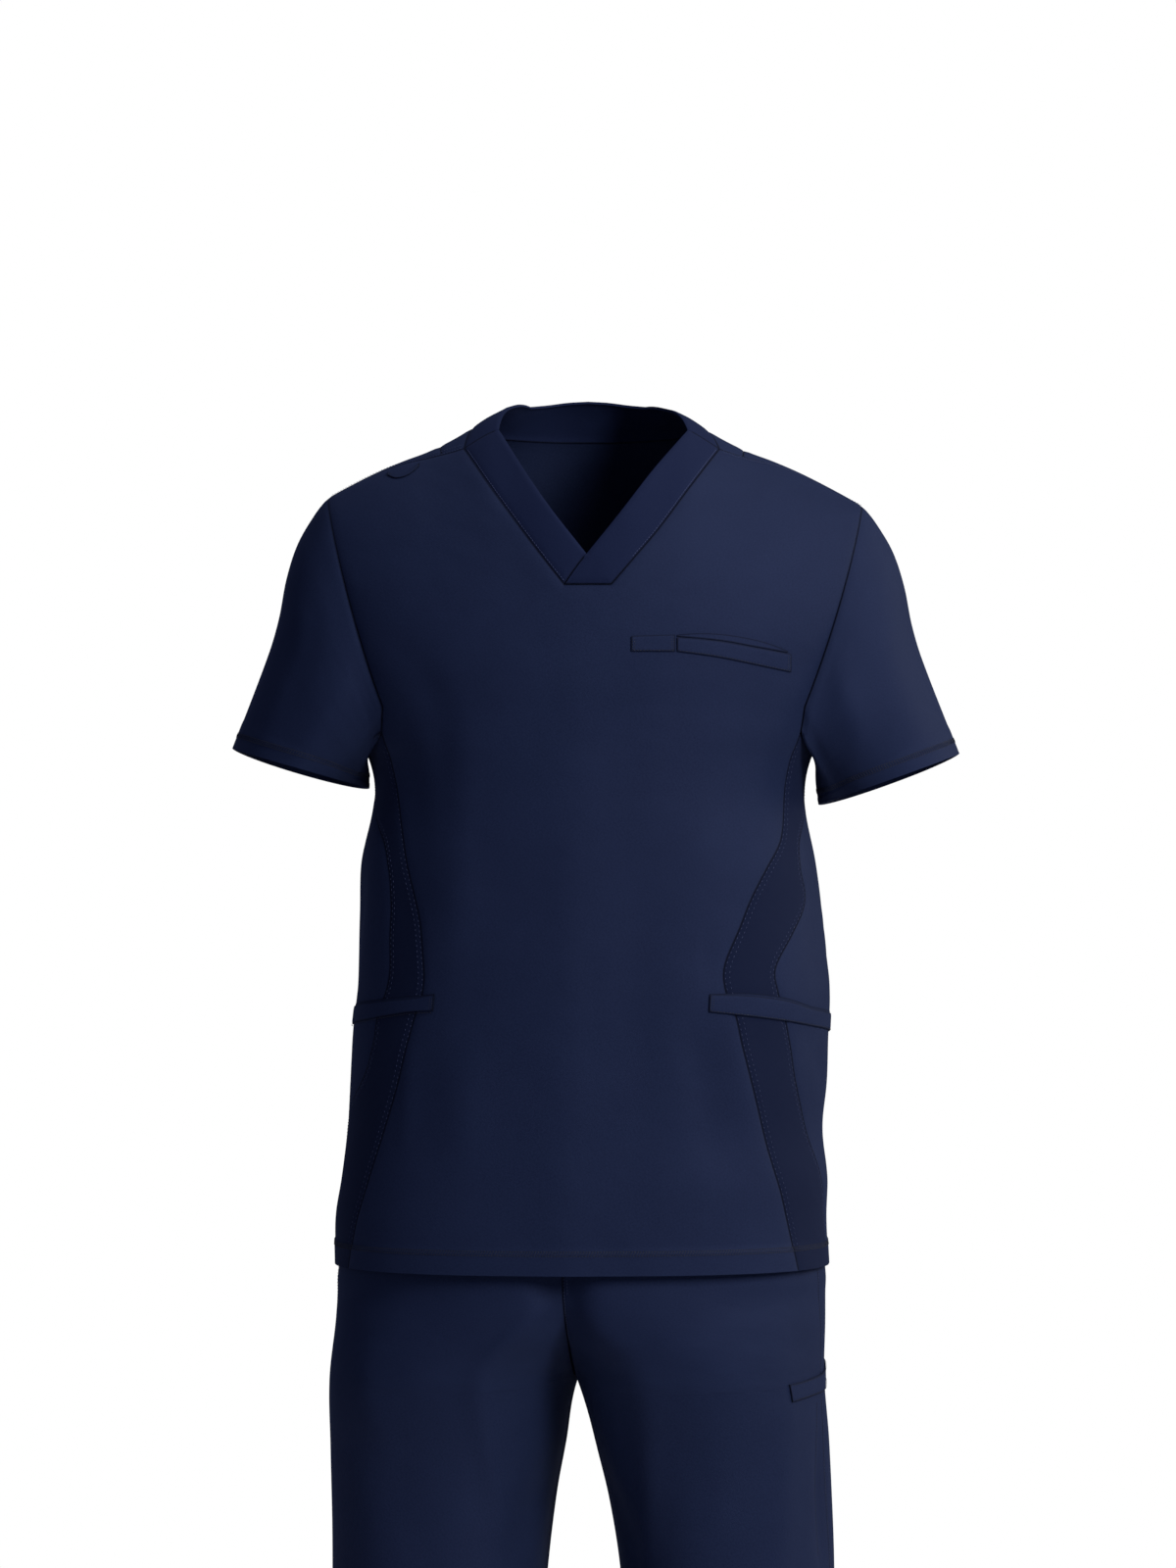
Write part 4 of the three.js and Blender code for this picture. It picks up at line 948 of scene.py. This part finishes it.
# %% Cargo pocket band
CARGO_BAND = table(
    "at low high", (-52, -746, -730.5), (-30, -750, -734.5), (0, -755, -739.5),
    (24, -755.6, -741.4), (43, -757.5, -743.3))
at = np.linspace(-52, 43, 80)
place = at, lerp(read(CARGO_BAND, "at", "low", at), read(CARGO_BAND, "at", "high", at),
                 LAID_ACROSS[:, None])
on_left_leg = lambda degrees, z: leg_point("left", degrees, z)
out = surface_normal(on_left_leg, place[0], place[1], 0.5, 0.5)
lift = SEAM_GAP + BAND * PRESSED + 0.3 * (np.sin(math.pi * LAID_ACROSS)[:, None] ** 0.5 - 0.6)
grid = on_left_leg(*place) - out * lift[..., None]
shell("cargo_pocket_band", grid[:, ::-1], wall=BAND * PRESSED, dip=0)
print("trousers", sum(len(s["quads"]) for n, s in shells.items() if "trouser" in n), "quads")

# %% [markdown]
# Where two pieces meet, their walls lean alike: each shared edge point takes the mean of its neighbours'
# normals. Then every piece is closed with its inner side and rim, and takes the place of its solid.

# %% Shells to objects
def lean_together():
    edges = []
    for name, s in shells.items():
        if "pocket" in name or name in ("chest_pen_slot", "badge_loop"):
            continue
        edges += [(name, k) for k in np.unique(s["rim"])]
    where = np.array([shells[n]["points"][k] for n, k in edges])
    normals = np.array([shells[n]["normals"][k] for n, k in edges])
    owner = np.array([list(shells).index(n) for n, _ in edges])
    for i, (name, k) in enumerate(edges):
        apart = np.linalg.norm(where - where[i], axis=1)
        near = (apart < 4.5) & ((owner != owner[i]) | (apart == 0))
        mean = (normals[near] * np.exp(-apart[near, None])).sum(0)
        shells[name]["normals"][k] = mean / np.linalg.norm(mean)


def walled(name):
    """One closed mesh in metres, drawn smooth, with its cloth coordinates as a UV map."""
    s = shells[name]
    points, quads, rim = s["points"], s["quads"], s["rim"]
    middle = {}
    for p, q in rim:
        along = points[q] - points[p]
        way = np.cross(s["normals"][p] + s["normals"][q], along)
        way /= np.linalg.norm(way) + 1e-9
        for k in (p, q):
            middle.setdefault(k, []).append(way)
    outer = points.copy()
    for k, ways in middle.items():
        outer[k] += np.mean(ways, 0) * SEAM_GAP / 2
    inner = outer - s["normals"] * s["wall"]
    n = len(points)
    closing = np.stack([rim[:, 1], rim[:, 0], rim[:, 0] + n, rim[:, 1] + n], 1)
    faces = np.concatenate([quads, quads[:, ::-1] + n, closing])
    faces = [list(dict.fromkeys(f)) for f in faces.tolist()]
    mesh = bpy.data.meshes.new(name + "_cloth")
    mesh.from_pydata(np.concatenate([outer, inner]) * MM, [], [f for f in faces if len(f) > 2])
    mesh.validate()
    corners = np.zeros(len(mesh.loops), np.int32)
    mesh.loops.foreach_get("vertex_index", corners)
    uv = np.concatenate([s["uv"], s["uv"]])[corners]
    mesh.uv_layers.new(name="cloth").data.foreach_set("uv", uv.ravel())
    # seam_mm holds each point's distance to a sewn edge, which the cloth materials draw as painted seam
    # shade.
    near_seam = mesh.attributes.new("seam_mm", "FLOAT", "POINT")
    near_seam.data.foreach_set("value", np.concatenate([s["seam"], s["seam"]]).astype(np.float32))
    mesh.shade_smooth()
    sharp = mesh.attributes.new("sharp_edge", "BOOLEAN", "EDGE")
    rims = {tuple(sorted(e)) for e in rim.tolist()}
    both = rims | {(a + n, b + n) for a, b in rims}
    ends = np.zeros(len(mesh.edges) * 2, np.int32)
    mesh.edges.foreach_get("vertices", ends)
    hit = [tuple(sorted(e)) in both for e in ends.reshape(-1, 2).tolist()]
    sharp.data.foreach_set("value", hit)
    obj = bpy.data.objects.new(name + "_cloth", mesh)
    bpy.context.scene.collection.objects.link(obj)
    return obj


lean_together()
cloth = {}
for name in shells:
    obj = walled(name)
    if "mouth" not in name:
        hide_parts(name)
    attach(obj, "root")
    cloth[name] = obj
print(len(cloth), "pieces,", sum(len(o.data.polygons) for o in cloth.values()), "faces")

# %% [markdown]
# The top and trousers are one dense woven twill of polyester, viscose and a little elastane: matt, with
# a soft sheen at grazing angles. The side inserts and neckband are a fine rib-free knit of the same
# navy, a shade darker: painted shade for the shadow its loops hold. The yarns are bump alone, and are
# drawn at 1.2 mm rather than the real 0.4 mm, as finer ones would only flicker at this distance.

# %% Node helpers
def linear(code):
    """An sRGB hex colour as the linear values a shader takes."""
    rgb = [int(code[i:i + 2], 16) / 255 for i in (1, 3, 5)]
    return [c / 12.92 if c <= 0.04045 else ((c + 0.055) / 1.055) ** 2.4 for c in rgb] + [1.0]


def new_material(name):
    material = bpy.data.materials.new(name)
    material.use_nodes = True
    return material, material.node_tree.nodes["Principled BSDF"]


def add(material, kind, links=(), **settings):
    """Adds a node, sets its inputs and properties by name, and links outputs into its inputs."""
    tree = material.node_tree
    node = tree.nodes.new("ShaderNode" + kind)
    for key, value in settings.items():
        if hasattr(node, key):
            setattr(node, key, value)
        else:
            node.inputs[key.replace("_", " ")].default_value = value
    for target, source in dict(links).items():
        tree.links.new(source, node.inputs[target])
    return node


# %% Cloths and thread
GRAIN = 620  # noise cells a metre: the speckle of yarns catching light, about 1.6 mm
# SEAM_SHADOW is how wide the painted shade along a seam reaches.
SEAM_SHADOW = 1.5  # millimetres over which a seam's shadow fades


def cloth_material(name, colour, light, yarn, angle, depth, rough, sheen):
    material, shader = new_material(name)
    tree = material.node_tree
    place = add(material, "UVMap", uv_map="cloth")
    turned = add(material, "Mapping", {"Vector": place.outputs[0]}, Rotation=(0, 0, math.radians(angle)))
    ribs = add(material, "TexWave", {"Vector": turned.outputs[0]}, Scale=1 / yarn / 3.14,
               Distortion=0.6, Detail=1.0)
    cross = add(material, "TexWave", {"Vector": place.outputs[0]}, bands_direction="Y",
                Scale=1 / yarn / 2.2, Distortion=0.8)
    weave = add(material, "Mix", {"A": ribs.outputs["Fac"], "B": cross.outputs["Fac"]}, Factor=0.35)
    crumple = add(material, "TexNoise", {"Vector": place.outputs[0]}, Scale=22, Detail=2.5,
                  Roughness=0.45)
    fine = add(material, "Bump", {"Height": weave.outputs[0]}, Strength=0.25, Distance=depth)
    soft = add(material, "Bump", {"Height": crumple.outputs["Fac"], "Normal": fine.outputs[0]},
               Strength=0.25, Distance=0.004)
    # The mottle is partly the cloth's own uneven tone and partly painted highlight: yarns catching light.
    tone = add(material, "TexNoise", {"Vector": place.outputs[0]}, Scale=9, Detail=4, Roughness=0.6)
    yarn_glint = add(material, "TexNoise", {"Vector": turned.outputs[0]}, Scale=GRAIN, Detail=2)
    tone_and_yarn_glint = add(material, "Mix", {"A": tone.outputs["Fac"], "B": yarn_glint.outputs["Fac"]}, Factor=0.6)
    shade = add(material, "ValToRGB", {"Fac": tone_and_yarn_glint.outputs[0]})
    shade.color_ramp.elements[0].position = 0.3
    shade.color_ramp.elements[0].color = linear(colour)
    shade.color_ramp.elements[1].position = 0.7
    shade.color_ramp.elements[1].color = linear(light)
    # Where the cloth turns down into a seam it lies in its own shadow. That shadow is painted: the base
    # colour darkens towards #04060f within SEAM_SHADOW mm of a sewn edge.
    seam = add(material, "Attribute", attribute_name="seam_mm")
    painted_seam_shade = add(material, "MapRange", {"Value": seam.outputs["Fac"]}, interpolation_type="SMOOTHSTEP",
                  From_Min=0.1, From_Max=SEAM_SHADOW, To_Min=0.15, To_Max=1.0)
    dark = add(material, "MixRGB", {"Fac": painted_seam_shade.outputs[0], "Color2": shade.outputs[0]},
               Color1=linear("#04060f"))
    for socket, source in (("Base Color", dark.outputs[0]), ("Normal", soft.outputs[0])):
        tree.links.new(source, shader.inputs[socket])
    shader.inputs["Roughness"].default_value = rough
    shader.inputs["IOR"].default_value = 1.45
    shader.inputs["Specular Tint"].default_value = linear("#8c98cc")
    shader.inputs["Sheen Weight"].default_value = sheen
    shader.inputs["Sheen Roughness"].default_value = 0.45
    shader.inputs["Sheen Tint"].default_value = linear("#44548c")
    return material


woven = cloth_material(
    "woven_twill_navy_soft_sheen", "#131b33", "#1c253f", 0.0012, 62, 0.00015, 0.7, 0.06)
# The side inserts' copy of the knit is darker than the neckband's: painted shade for the body's sides.
knit = cloth_material(
    "side_insert_knit_navy_painted_shade", "#0b1228", "#10172d", 0.0010, 4, 0.0002, 0.8, 0.08)
rib = cloth_material(
    "neckband_knit_navy_matt", "#0e1630", "#141c36", 0.0010, 4, 0.0002, 0.8, 0.08)


def thread_material(name, colour):
    material, shader = new_material(name)
    shader.inputs["Base Color"].default_value = linear(colour)
    shader.inputs["Roughness"].default_value = 0.6
    shader.inputs["IOR"].default_value = 1.5
    return material


thread = thread_material("spun_polyester_thread_navy", "#343e64")
# Hem and pocket threads are darker than the real navy thread: painted shade.
hem_thread_painted_shade = thread_material("hem_thread_navy_painted_shade", "#0d1226")
dimple_shade_thread = thread_material("spun_polyester_thread_dark_navy", "#0a0e1e")
KNITS = {"side_insert": knit, "neckband": rib}
for name, obj in cloth.items():
    kind = next((k for k in KNITS if name.startswith(k)), None)
    obj.data.materials.append(KNITS.get(kind, woven))
print("materials", [m.name for m in (woven, knit, rib, thread, hem_thread_painted_shade, dimple_shade_thread)])

# %% [markdown]
# Stitches are real little threads. The insert seams show two rows of small pale dots on the woven side,
# hems and cuffs a twin row with a zigzag between, as a coverstitch machine sews it, and pocket edges
# one row pulled tight into the cloth. The pocket thread is painted near black for the shade in its
# dimples, and the hem thread a little darker than the cloth as painted shade. A bump texture would not
# follow the curved seams.

# %% Making stitches
THREAD = 0.42  # how wide a stitch looks, its two plied yarns together
PITCH = 2.5


def along(rail, normals, offset, lift, pitch=PITCH, fill=0.72):
    """Ends and normals of stitches along a rail moved sideways over the cloth, and off it."""
    tangent = np.gradient(rail, axis=0)
    tangent /= np.linalg.norm(tangent, axis=1, keepdims=True) + 1e-9
    side = np.cross(normals, tangent)
    line = rail + side * offset + normals * lift
    run = np.r_[0, np.cumsum(np.linalg.norm(np.diff(line, axis=0), axis=1))]
    starts = np.arange(pitch / 2, run[-1] - pitch, pitch)
    at = lambda values, where: np.stack([np.interp(where, run, values[:, k]) for k in range(3)], 1)
    return at(line, starts), at(line, starts + pitch * fill), at(normals, starts)


def zigzag(first, second):
    """The crossing threads between two rows of stitches."""
    n = min(len(first[0]), len(second[0]))
    return first[0][:n], second[1][:n], first[2][:n]


def sew(name, stitches, material, body="root"):
    """All of a group's stitches as one mesh of small spindles lying on the cloth."""
    a, b, n = (np.concatenate([s[k] for s in stitches]) for k in range(3))
    way = b - a
    side = np.cross(n, way)
    side /= np.linalg.norm(side, axis=1, keepdims=True) + 1e-9
    rise = n / np.linalg.norm(n, axis=1, keepdims=True)
    rings = [(0.0, 0.25), (0.15, 0.85), (0.5, 1.0), (0.85, 0.85), (1.0, 0.25)]
    corners = [(math.cos(k), math.sin(k)) for k in np.radians([0, 60, 120, 180, 270])]
    points = []
    for t, full in rings:
        bow = 0.2 * math.sin(math.pi * t)
        for c, s in corners:
            points.append(a + way * t + side * (c * THREAD / 2 * full)
                          + rise * (s * THREAD / 2 * full * 0.7 + bow))
    points = np.stack(points, 1)
    n_ring, n_corner = len(rings), len(corners)
    quads = [[r * n_corner + k, r * n_corner + (k + 1) % n_corner,
              (r + 1) * n_corner + (k + 1) % n_corner, (r + 1) * n_corner + k]
             for r in range(n_ring - 1) for k in range(n_corner)]
    starts = np.arange(len(a))[:, None, None] * n_ring * n_corner
    faces = (np.array(quads)[None] + starts).reshape(-1, 4)
    mesh = bpy.data.meshes.new(name)
    mesh.from_pydata(points.reshape(-1, 3) * MM, [], faces.tolist())
    mesh.shade_smooth()
    mesh.materials.append(material)
    obj = bpy.data.objects.new(name, mesh)
    bpy.context.scene.collection.objects.link(obj)
    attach(obj, body)
    print(name, len(a), "stitches")
    return obj


def sunk(offset):
    """Where a row lies, given how far from its seam it runs."""
    return -SEAM_DIP * math.exp(-((offset / SEAM_REACH) ** 2))


def top_rail(place):
    degrees, level = np.broadcast_arrays(*place)
    return on_top((degrees, level), 0.0), surface_normal(plain_top, degrees, level)


def twin(rail, near, far, lift=0.0):
    """Two rows of dots beside a seam."""
    return [along(*rail, o, lift + sunk(abs(o)), pitch=4.2, fill=0.36) for o in (near, far)]


# %% Stitches of the top
TWIN = (1.4, 4.8)  # the two rows' distances from an insert's seam
HEM_ROWS = (15.5, 19.0)  # above the hem
CUFF_ROWS = (10.0, 13.5)
top_stitches = []
z = np.arange(HEM + 1.0, SIDE_TOP - 4, 3.0)
for side, sign in SIDES.items():
    for behind in (False, True):
        rail = top_rail((seam_at(side, behind, z), level_of(z)))
        # Positive offsets lie to the seam's right-hand side as it runs up, seen from outside.
        away = sign if behind else -sign
        top_stitches += twin(rail, away * TWIN[0], away * TWIN[1])
hem_stitches = []
hem_around = np.arange(-180, 180, 0.4)
rows = [along(*top_rail((hem_around, level_of(HEM + h))), 0, lift, pitch=2.2)
        for h, lift in zip(HEM_ROWS, (0.75, 0.45))]
hem_stitches += rows + [zigzag(*rows)]
for side, grid in sleeve_grids.items():
    out = lambda row: row - row.mean(0)
    reach = np.linalg.norm(np.diff(grid, axis=0), axis=-1)[::-1].cumsum(0)
    cuff_rows = []
    for h in CUFF_ROWS:
        column = lambda i: [np.interp(h, reach[:, i], grid[-2::-1, i, k]) for k in range(3)]
        row = np.array([column(i) for i in range(grid.shape[1])])
        row = np.vstack([row, row[:1]])
        normals = out(row)
        normals /= np.linalg.norm(normals, axis=1, keepdims=True)
        cuff_rows.append(along(row, normals, 0, 0.15, pitch=2.2))
    hem_stitches += cuff_rows + [zigzag(*cuff_rows)]
v = np.linspace(0.01, 0.99, 120)
for side, sign in SIDES.items():
    u = shoulder_place(side, 1, v)
    top_stitches += [along(*top_rail(u), o, 0.1 + sunk(o)) for o in (1.5, 5.5)]
    edge = top_rail(neck_side(side, v, NECK_SEAM))
    top_stitches.append(along(*edge, sign * 1.6, 0.1 + sunk(1.6)))
foot = top_rail(v_foot(v))
top_stitches.append(along(*foot, 1.6, 0.1 + sunk(1.6)))
sew("stitches_top", top_stitches, thread)
sew("stitches_hems", hem_stitches, hem_thread_painted_shade)

# %% Stitches of the pockets
pocket = []
EDGE_IN = 1.1  # a row's distance from the edge it holds down


def strip_rows(rows, place, wall, ends, low=True):
    """One row inside a strip's lower edge, and short double rows across it at its ends."""
    at = np.linspace(rows["at"][0], rows["at"][-1], 120)
    foot = place(at, read(rows, "at", "low", at))
    lift = SEAM_GAP + wall * PRESSED
    if low:
        pocket.append(along(*top_rail(foot), EDGE_IN, lift))
    for end in ends:
        t = np.linspace(0.06, 0.94, 12)
        for gap in (EDGE_IN, EDGE_IN + 1.6):
            a = end + gap * (1 if end < rows["at"].mean() else -1) * END_SCALE[place is on_front]
            strip = place(np.full(12, a), lerp(*(read(rows, "at", k, a) for k in ("low", "high")), t))
            pocket.append(along(*top_rail(strip), 0, lift, pitch=1.8))


END_SCALE = {True: 1.0, False: 0.42}  # a millimetre along the strip, in its table's own unit
strip_rows(PEN_SLOT, on_front, CLOTH, [33.5, 67.5])
strip_rows(CHEST_WELT, on_front, CLOTH, [158.5])
for side, sign in SIDES.items():
    strip_rows(HIP_BANDS[side], round_hip(sign), BAND, [HIP_BANDS[side]["at"][0], HIP_BANDS[side]["at"][-1]])
strip_rows(BADGE_LOOP, on_front, 1.2, [-158.5, -133], low=False)
sew("stitches_pockets", pocket, dimple_shade_thread)

# %% Stitches of the trousers
rows = []
LEG_ROWS = np.arange(-1535, WAISTBAND_FOOT - 4, 6.0)


def leg_row(side, degrees, z, offset=0.0, lift=0.1, **spacing):
    """A row of stitches on a leg, from places in degrees and heights."""
    on_leg = lambda d, h: leg_point(side, d, h)
    degrees, z = np.broadcast_arrays(np.asarray(degrees, float), np.asarray(z, float))
    out = surface_normal(on_leg, degrees, z, 0.5, 0.5)
    out *= np.where((out * (on_leg(degrees, z) - on_leg(degrees + 180, z))).sum(-1) < 0, -1, 1)[:, None]
    rows.append(along(leg_point(side, degrees, z), out, offset, lift, **spacing))


for side, sign in SIDES.items():
    leg_row(side, SIDE_SEAM, LEG_ROWS, sign * 1.8)
    for h in (LEG_HEM - 3.5, LEG_HEM):
        leg_row(side, np.arange(-180, 181, 1.0), LEG_Z[0] + h - 1.5, lift=0.75, pitch=2.8)
rise_z = np.arange(CROTCH + 4, WAISTBAND_FOOT - 4, 3.0)
for o in (1.8, 4.6):
    leg_row("right", rise_angle(rise_z, False) - 0.5, rise_z, -o)
sew("stitches_trousers", rows, thread)

# %% Stitches of the cargo pocket
rows = []
at = np.linspace(-51, 42, 90)
lift = SEAM_GAP + BAND * PRESSED + 0.2
for column, step in (("low", EDGE_IN), ("high", -EDGE_IN)):
    leg_row("left", at, read(CARGO_BAND, "at", column, at) + step, lift=lift)
# The pocket's own edge is sewn down the leg from the band.
down = np.linspace(-761, -885, 50)
leg_row("left", lerp(18.5, 24, (down + 761) / -124), down)
sew("stitches_cargo_pocket", rows, dimple_shade_thread)

# %% [markdown]
# The light is a studio's: a broad soft key from the front right, a weaker one from the left, and pale
# walls all round. The backdrop is plain white to the camera and dimmer as a light.

# %% Floor, walls and lights
floor = bpy.data.meshes.new("floor")
ring = np.linspace(0, 2 * math.pi, 96, endpoint=False)
floor.from_pydata([(1.9 * math.cos(a), 1.9 * math.sin(a), -1.56) for a in ring], [], [range(96)])
floor_object = bpy.data.objects.new("studio_floor", floor)
bpy.context.scene.collection.objects.link(floor_object)
paint, paint_shader = new_material("matt_studio_paint_white")
speck = add(paint, "TexNoise", Scale=40, Detail=3)
paint_bump = add(paint, "Bump", {"Height": speck.outputs["Fac"]}, Strength=0.1, Distance=0.001)
paint.node_tree.links.new(paint_bump.outputs[0], paint_shader.inputs["Normal"])
paint_shader.inputs["Base Color"].default_value = linear("#e8e8e8")
paint_shader.inputs["Roughness"].default_value = 0.8
floor.materials.append(paint)

world = bpy.data.worlds.new("studio")
bpy.context.scene.world = world
world.use_nodes = True
tree = world.node_tree
dim = tree.nodes["Background"]
dim.inputs["Color"].default_value = linear("#9fb0e8")
dim.inputs["Strength"].default_value = 0.17
seen = tree.nodes.new("ShaderNodeBackground")
seen.inputs["Color"].default_value = (1, 1, 1, 1)
seen.inputs["Strength"].default_value = 1.0
path = tree.nodes.new("ShaderNodeLightPath")
choose = tree.nodes.new("ShaderNodeMixShader")
tree.links.new(path.outputs["Is Camera Ray"], choose.inputs[0])
tree.links.new(dim.outputs[0], choose.inputs[1])
tree.links.new(seen.outputs[0], choose.inputs[2])
tree.links.new(choose.outputs[0], tree.nodes["World Output"].inputs["Surface"])


def softbox(name, where, size, watts):
    light = bpy.data.lights.new(name, "AREA")
    light.shape, light.size, light.size_y, light.energy = "RECTANGLE", *size, watts
    obj = bpy.data.objects.new(name, light)
    bpy.context.scene.collection.objects.link(obj)
    obj.location = where
    obj.rotation_euler = (Vector((0, 0, -0.4)) - obj.location).to_track_quat("-Z", "Y").to_euler()


softbox("key_softbox", (2.2, -2.4, 1.3), (1.2, 1.8), 108)
softbox("fill_softbox", (-2.8, -2.2, 0.3), (1.6, 2.4), 5)
softbox("rim_softbox", (3.0, 0.9, 0.6), (0.8, 1.8), 20)
softbox("top_softbox", (0.4, -0.3, 2.4), (2.0, 1.6), 20)
bpy.context.scene.view_settings.view_transform = "Standard"

# %% [markdown]
# Last, each piece's cut is measured flat on its own cloth, and the sizes are printed.

# %% Cut sizes and finish
LIES_ON = {  # what a piece hangs from, or is sewn flat on; SIDE stands for its own side
    "trouser": ["waistband"],
    "sleeve": ["top_front", "top_back_SIDE"],
    "chest": ["top_front"],
    "badge": ["top_front"],
    "hip": ["top_front", "side_insert_SIDE", "top_back_SIDE"],
    "cargo": ["trouser_front_left", "trouser_back_left"],
}
for name, obj in cloth.items():
    s = shells[name]
    width, length = (max(s[k] * MM, 0.01) for k in ("width", "length"))
    area = outer_area(s["points"], s["quads"]) * MM * MM
    area = min(area, width * length)
    below = next((v for k, v in LIES_ON.items() if name.startswith(k)), [])
    below = [cloth[n.replace("SIDE", name.rsplit("_", 1)[-1])] for n in below]
    print("%-24s %4.0f x %4.0f mm, %6.0f cm2" % (name, width / MM, length / MM, area * 1e4))
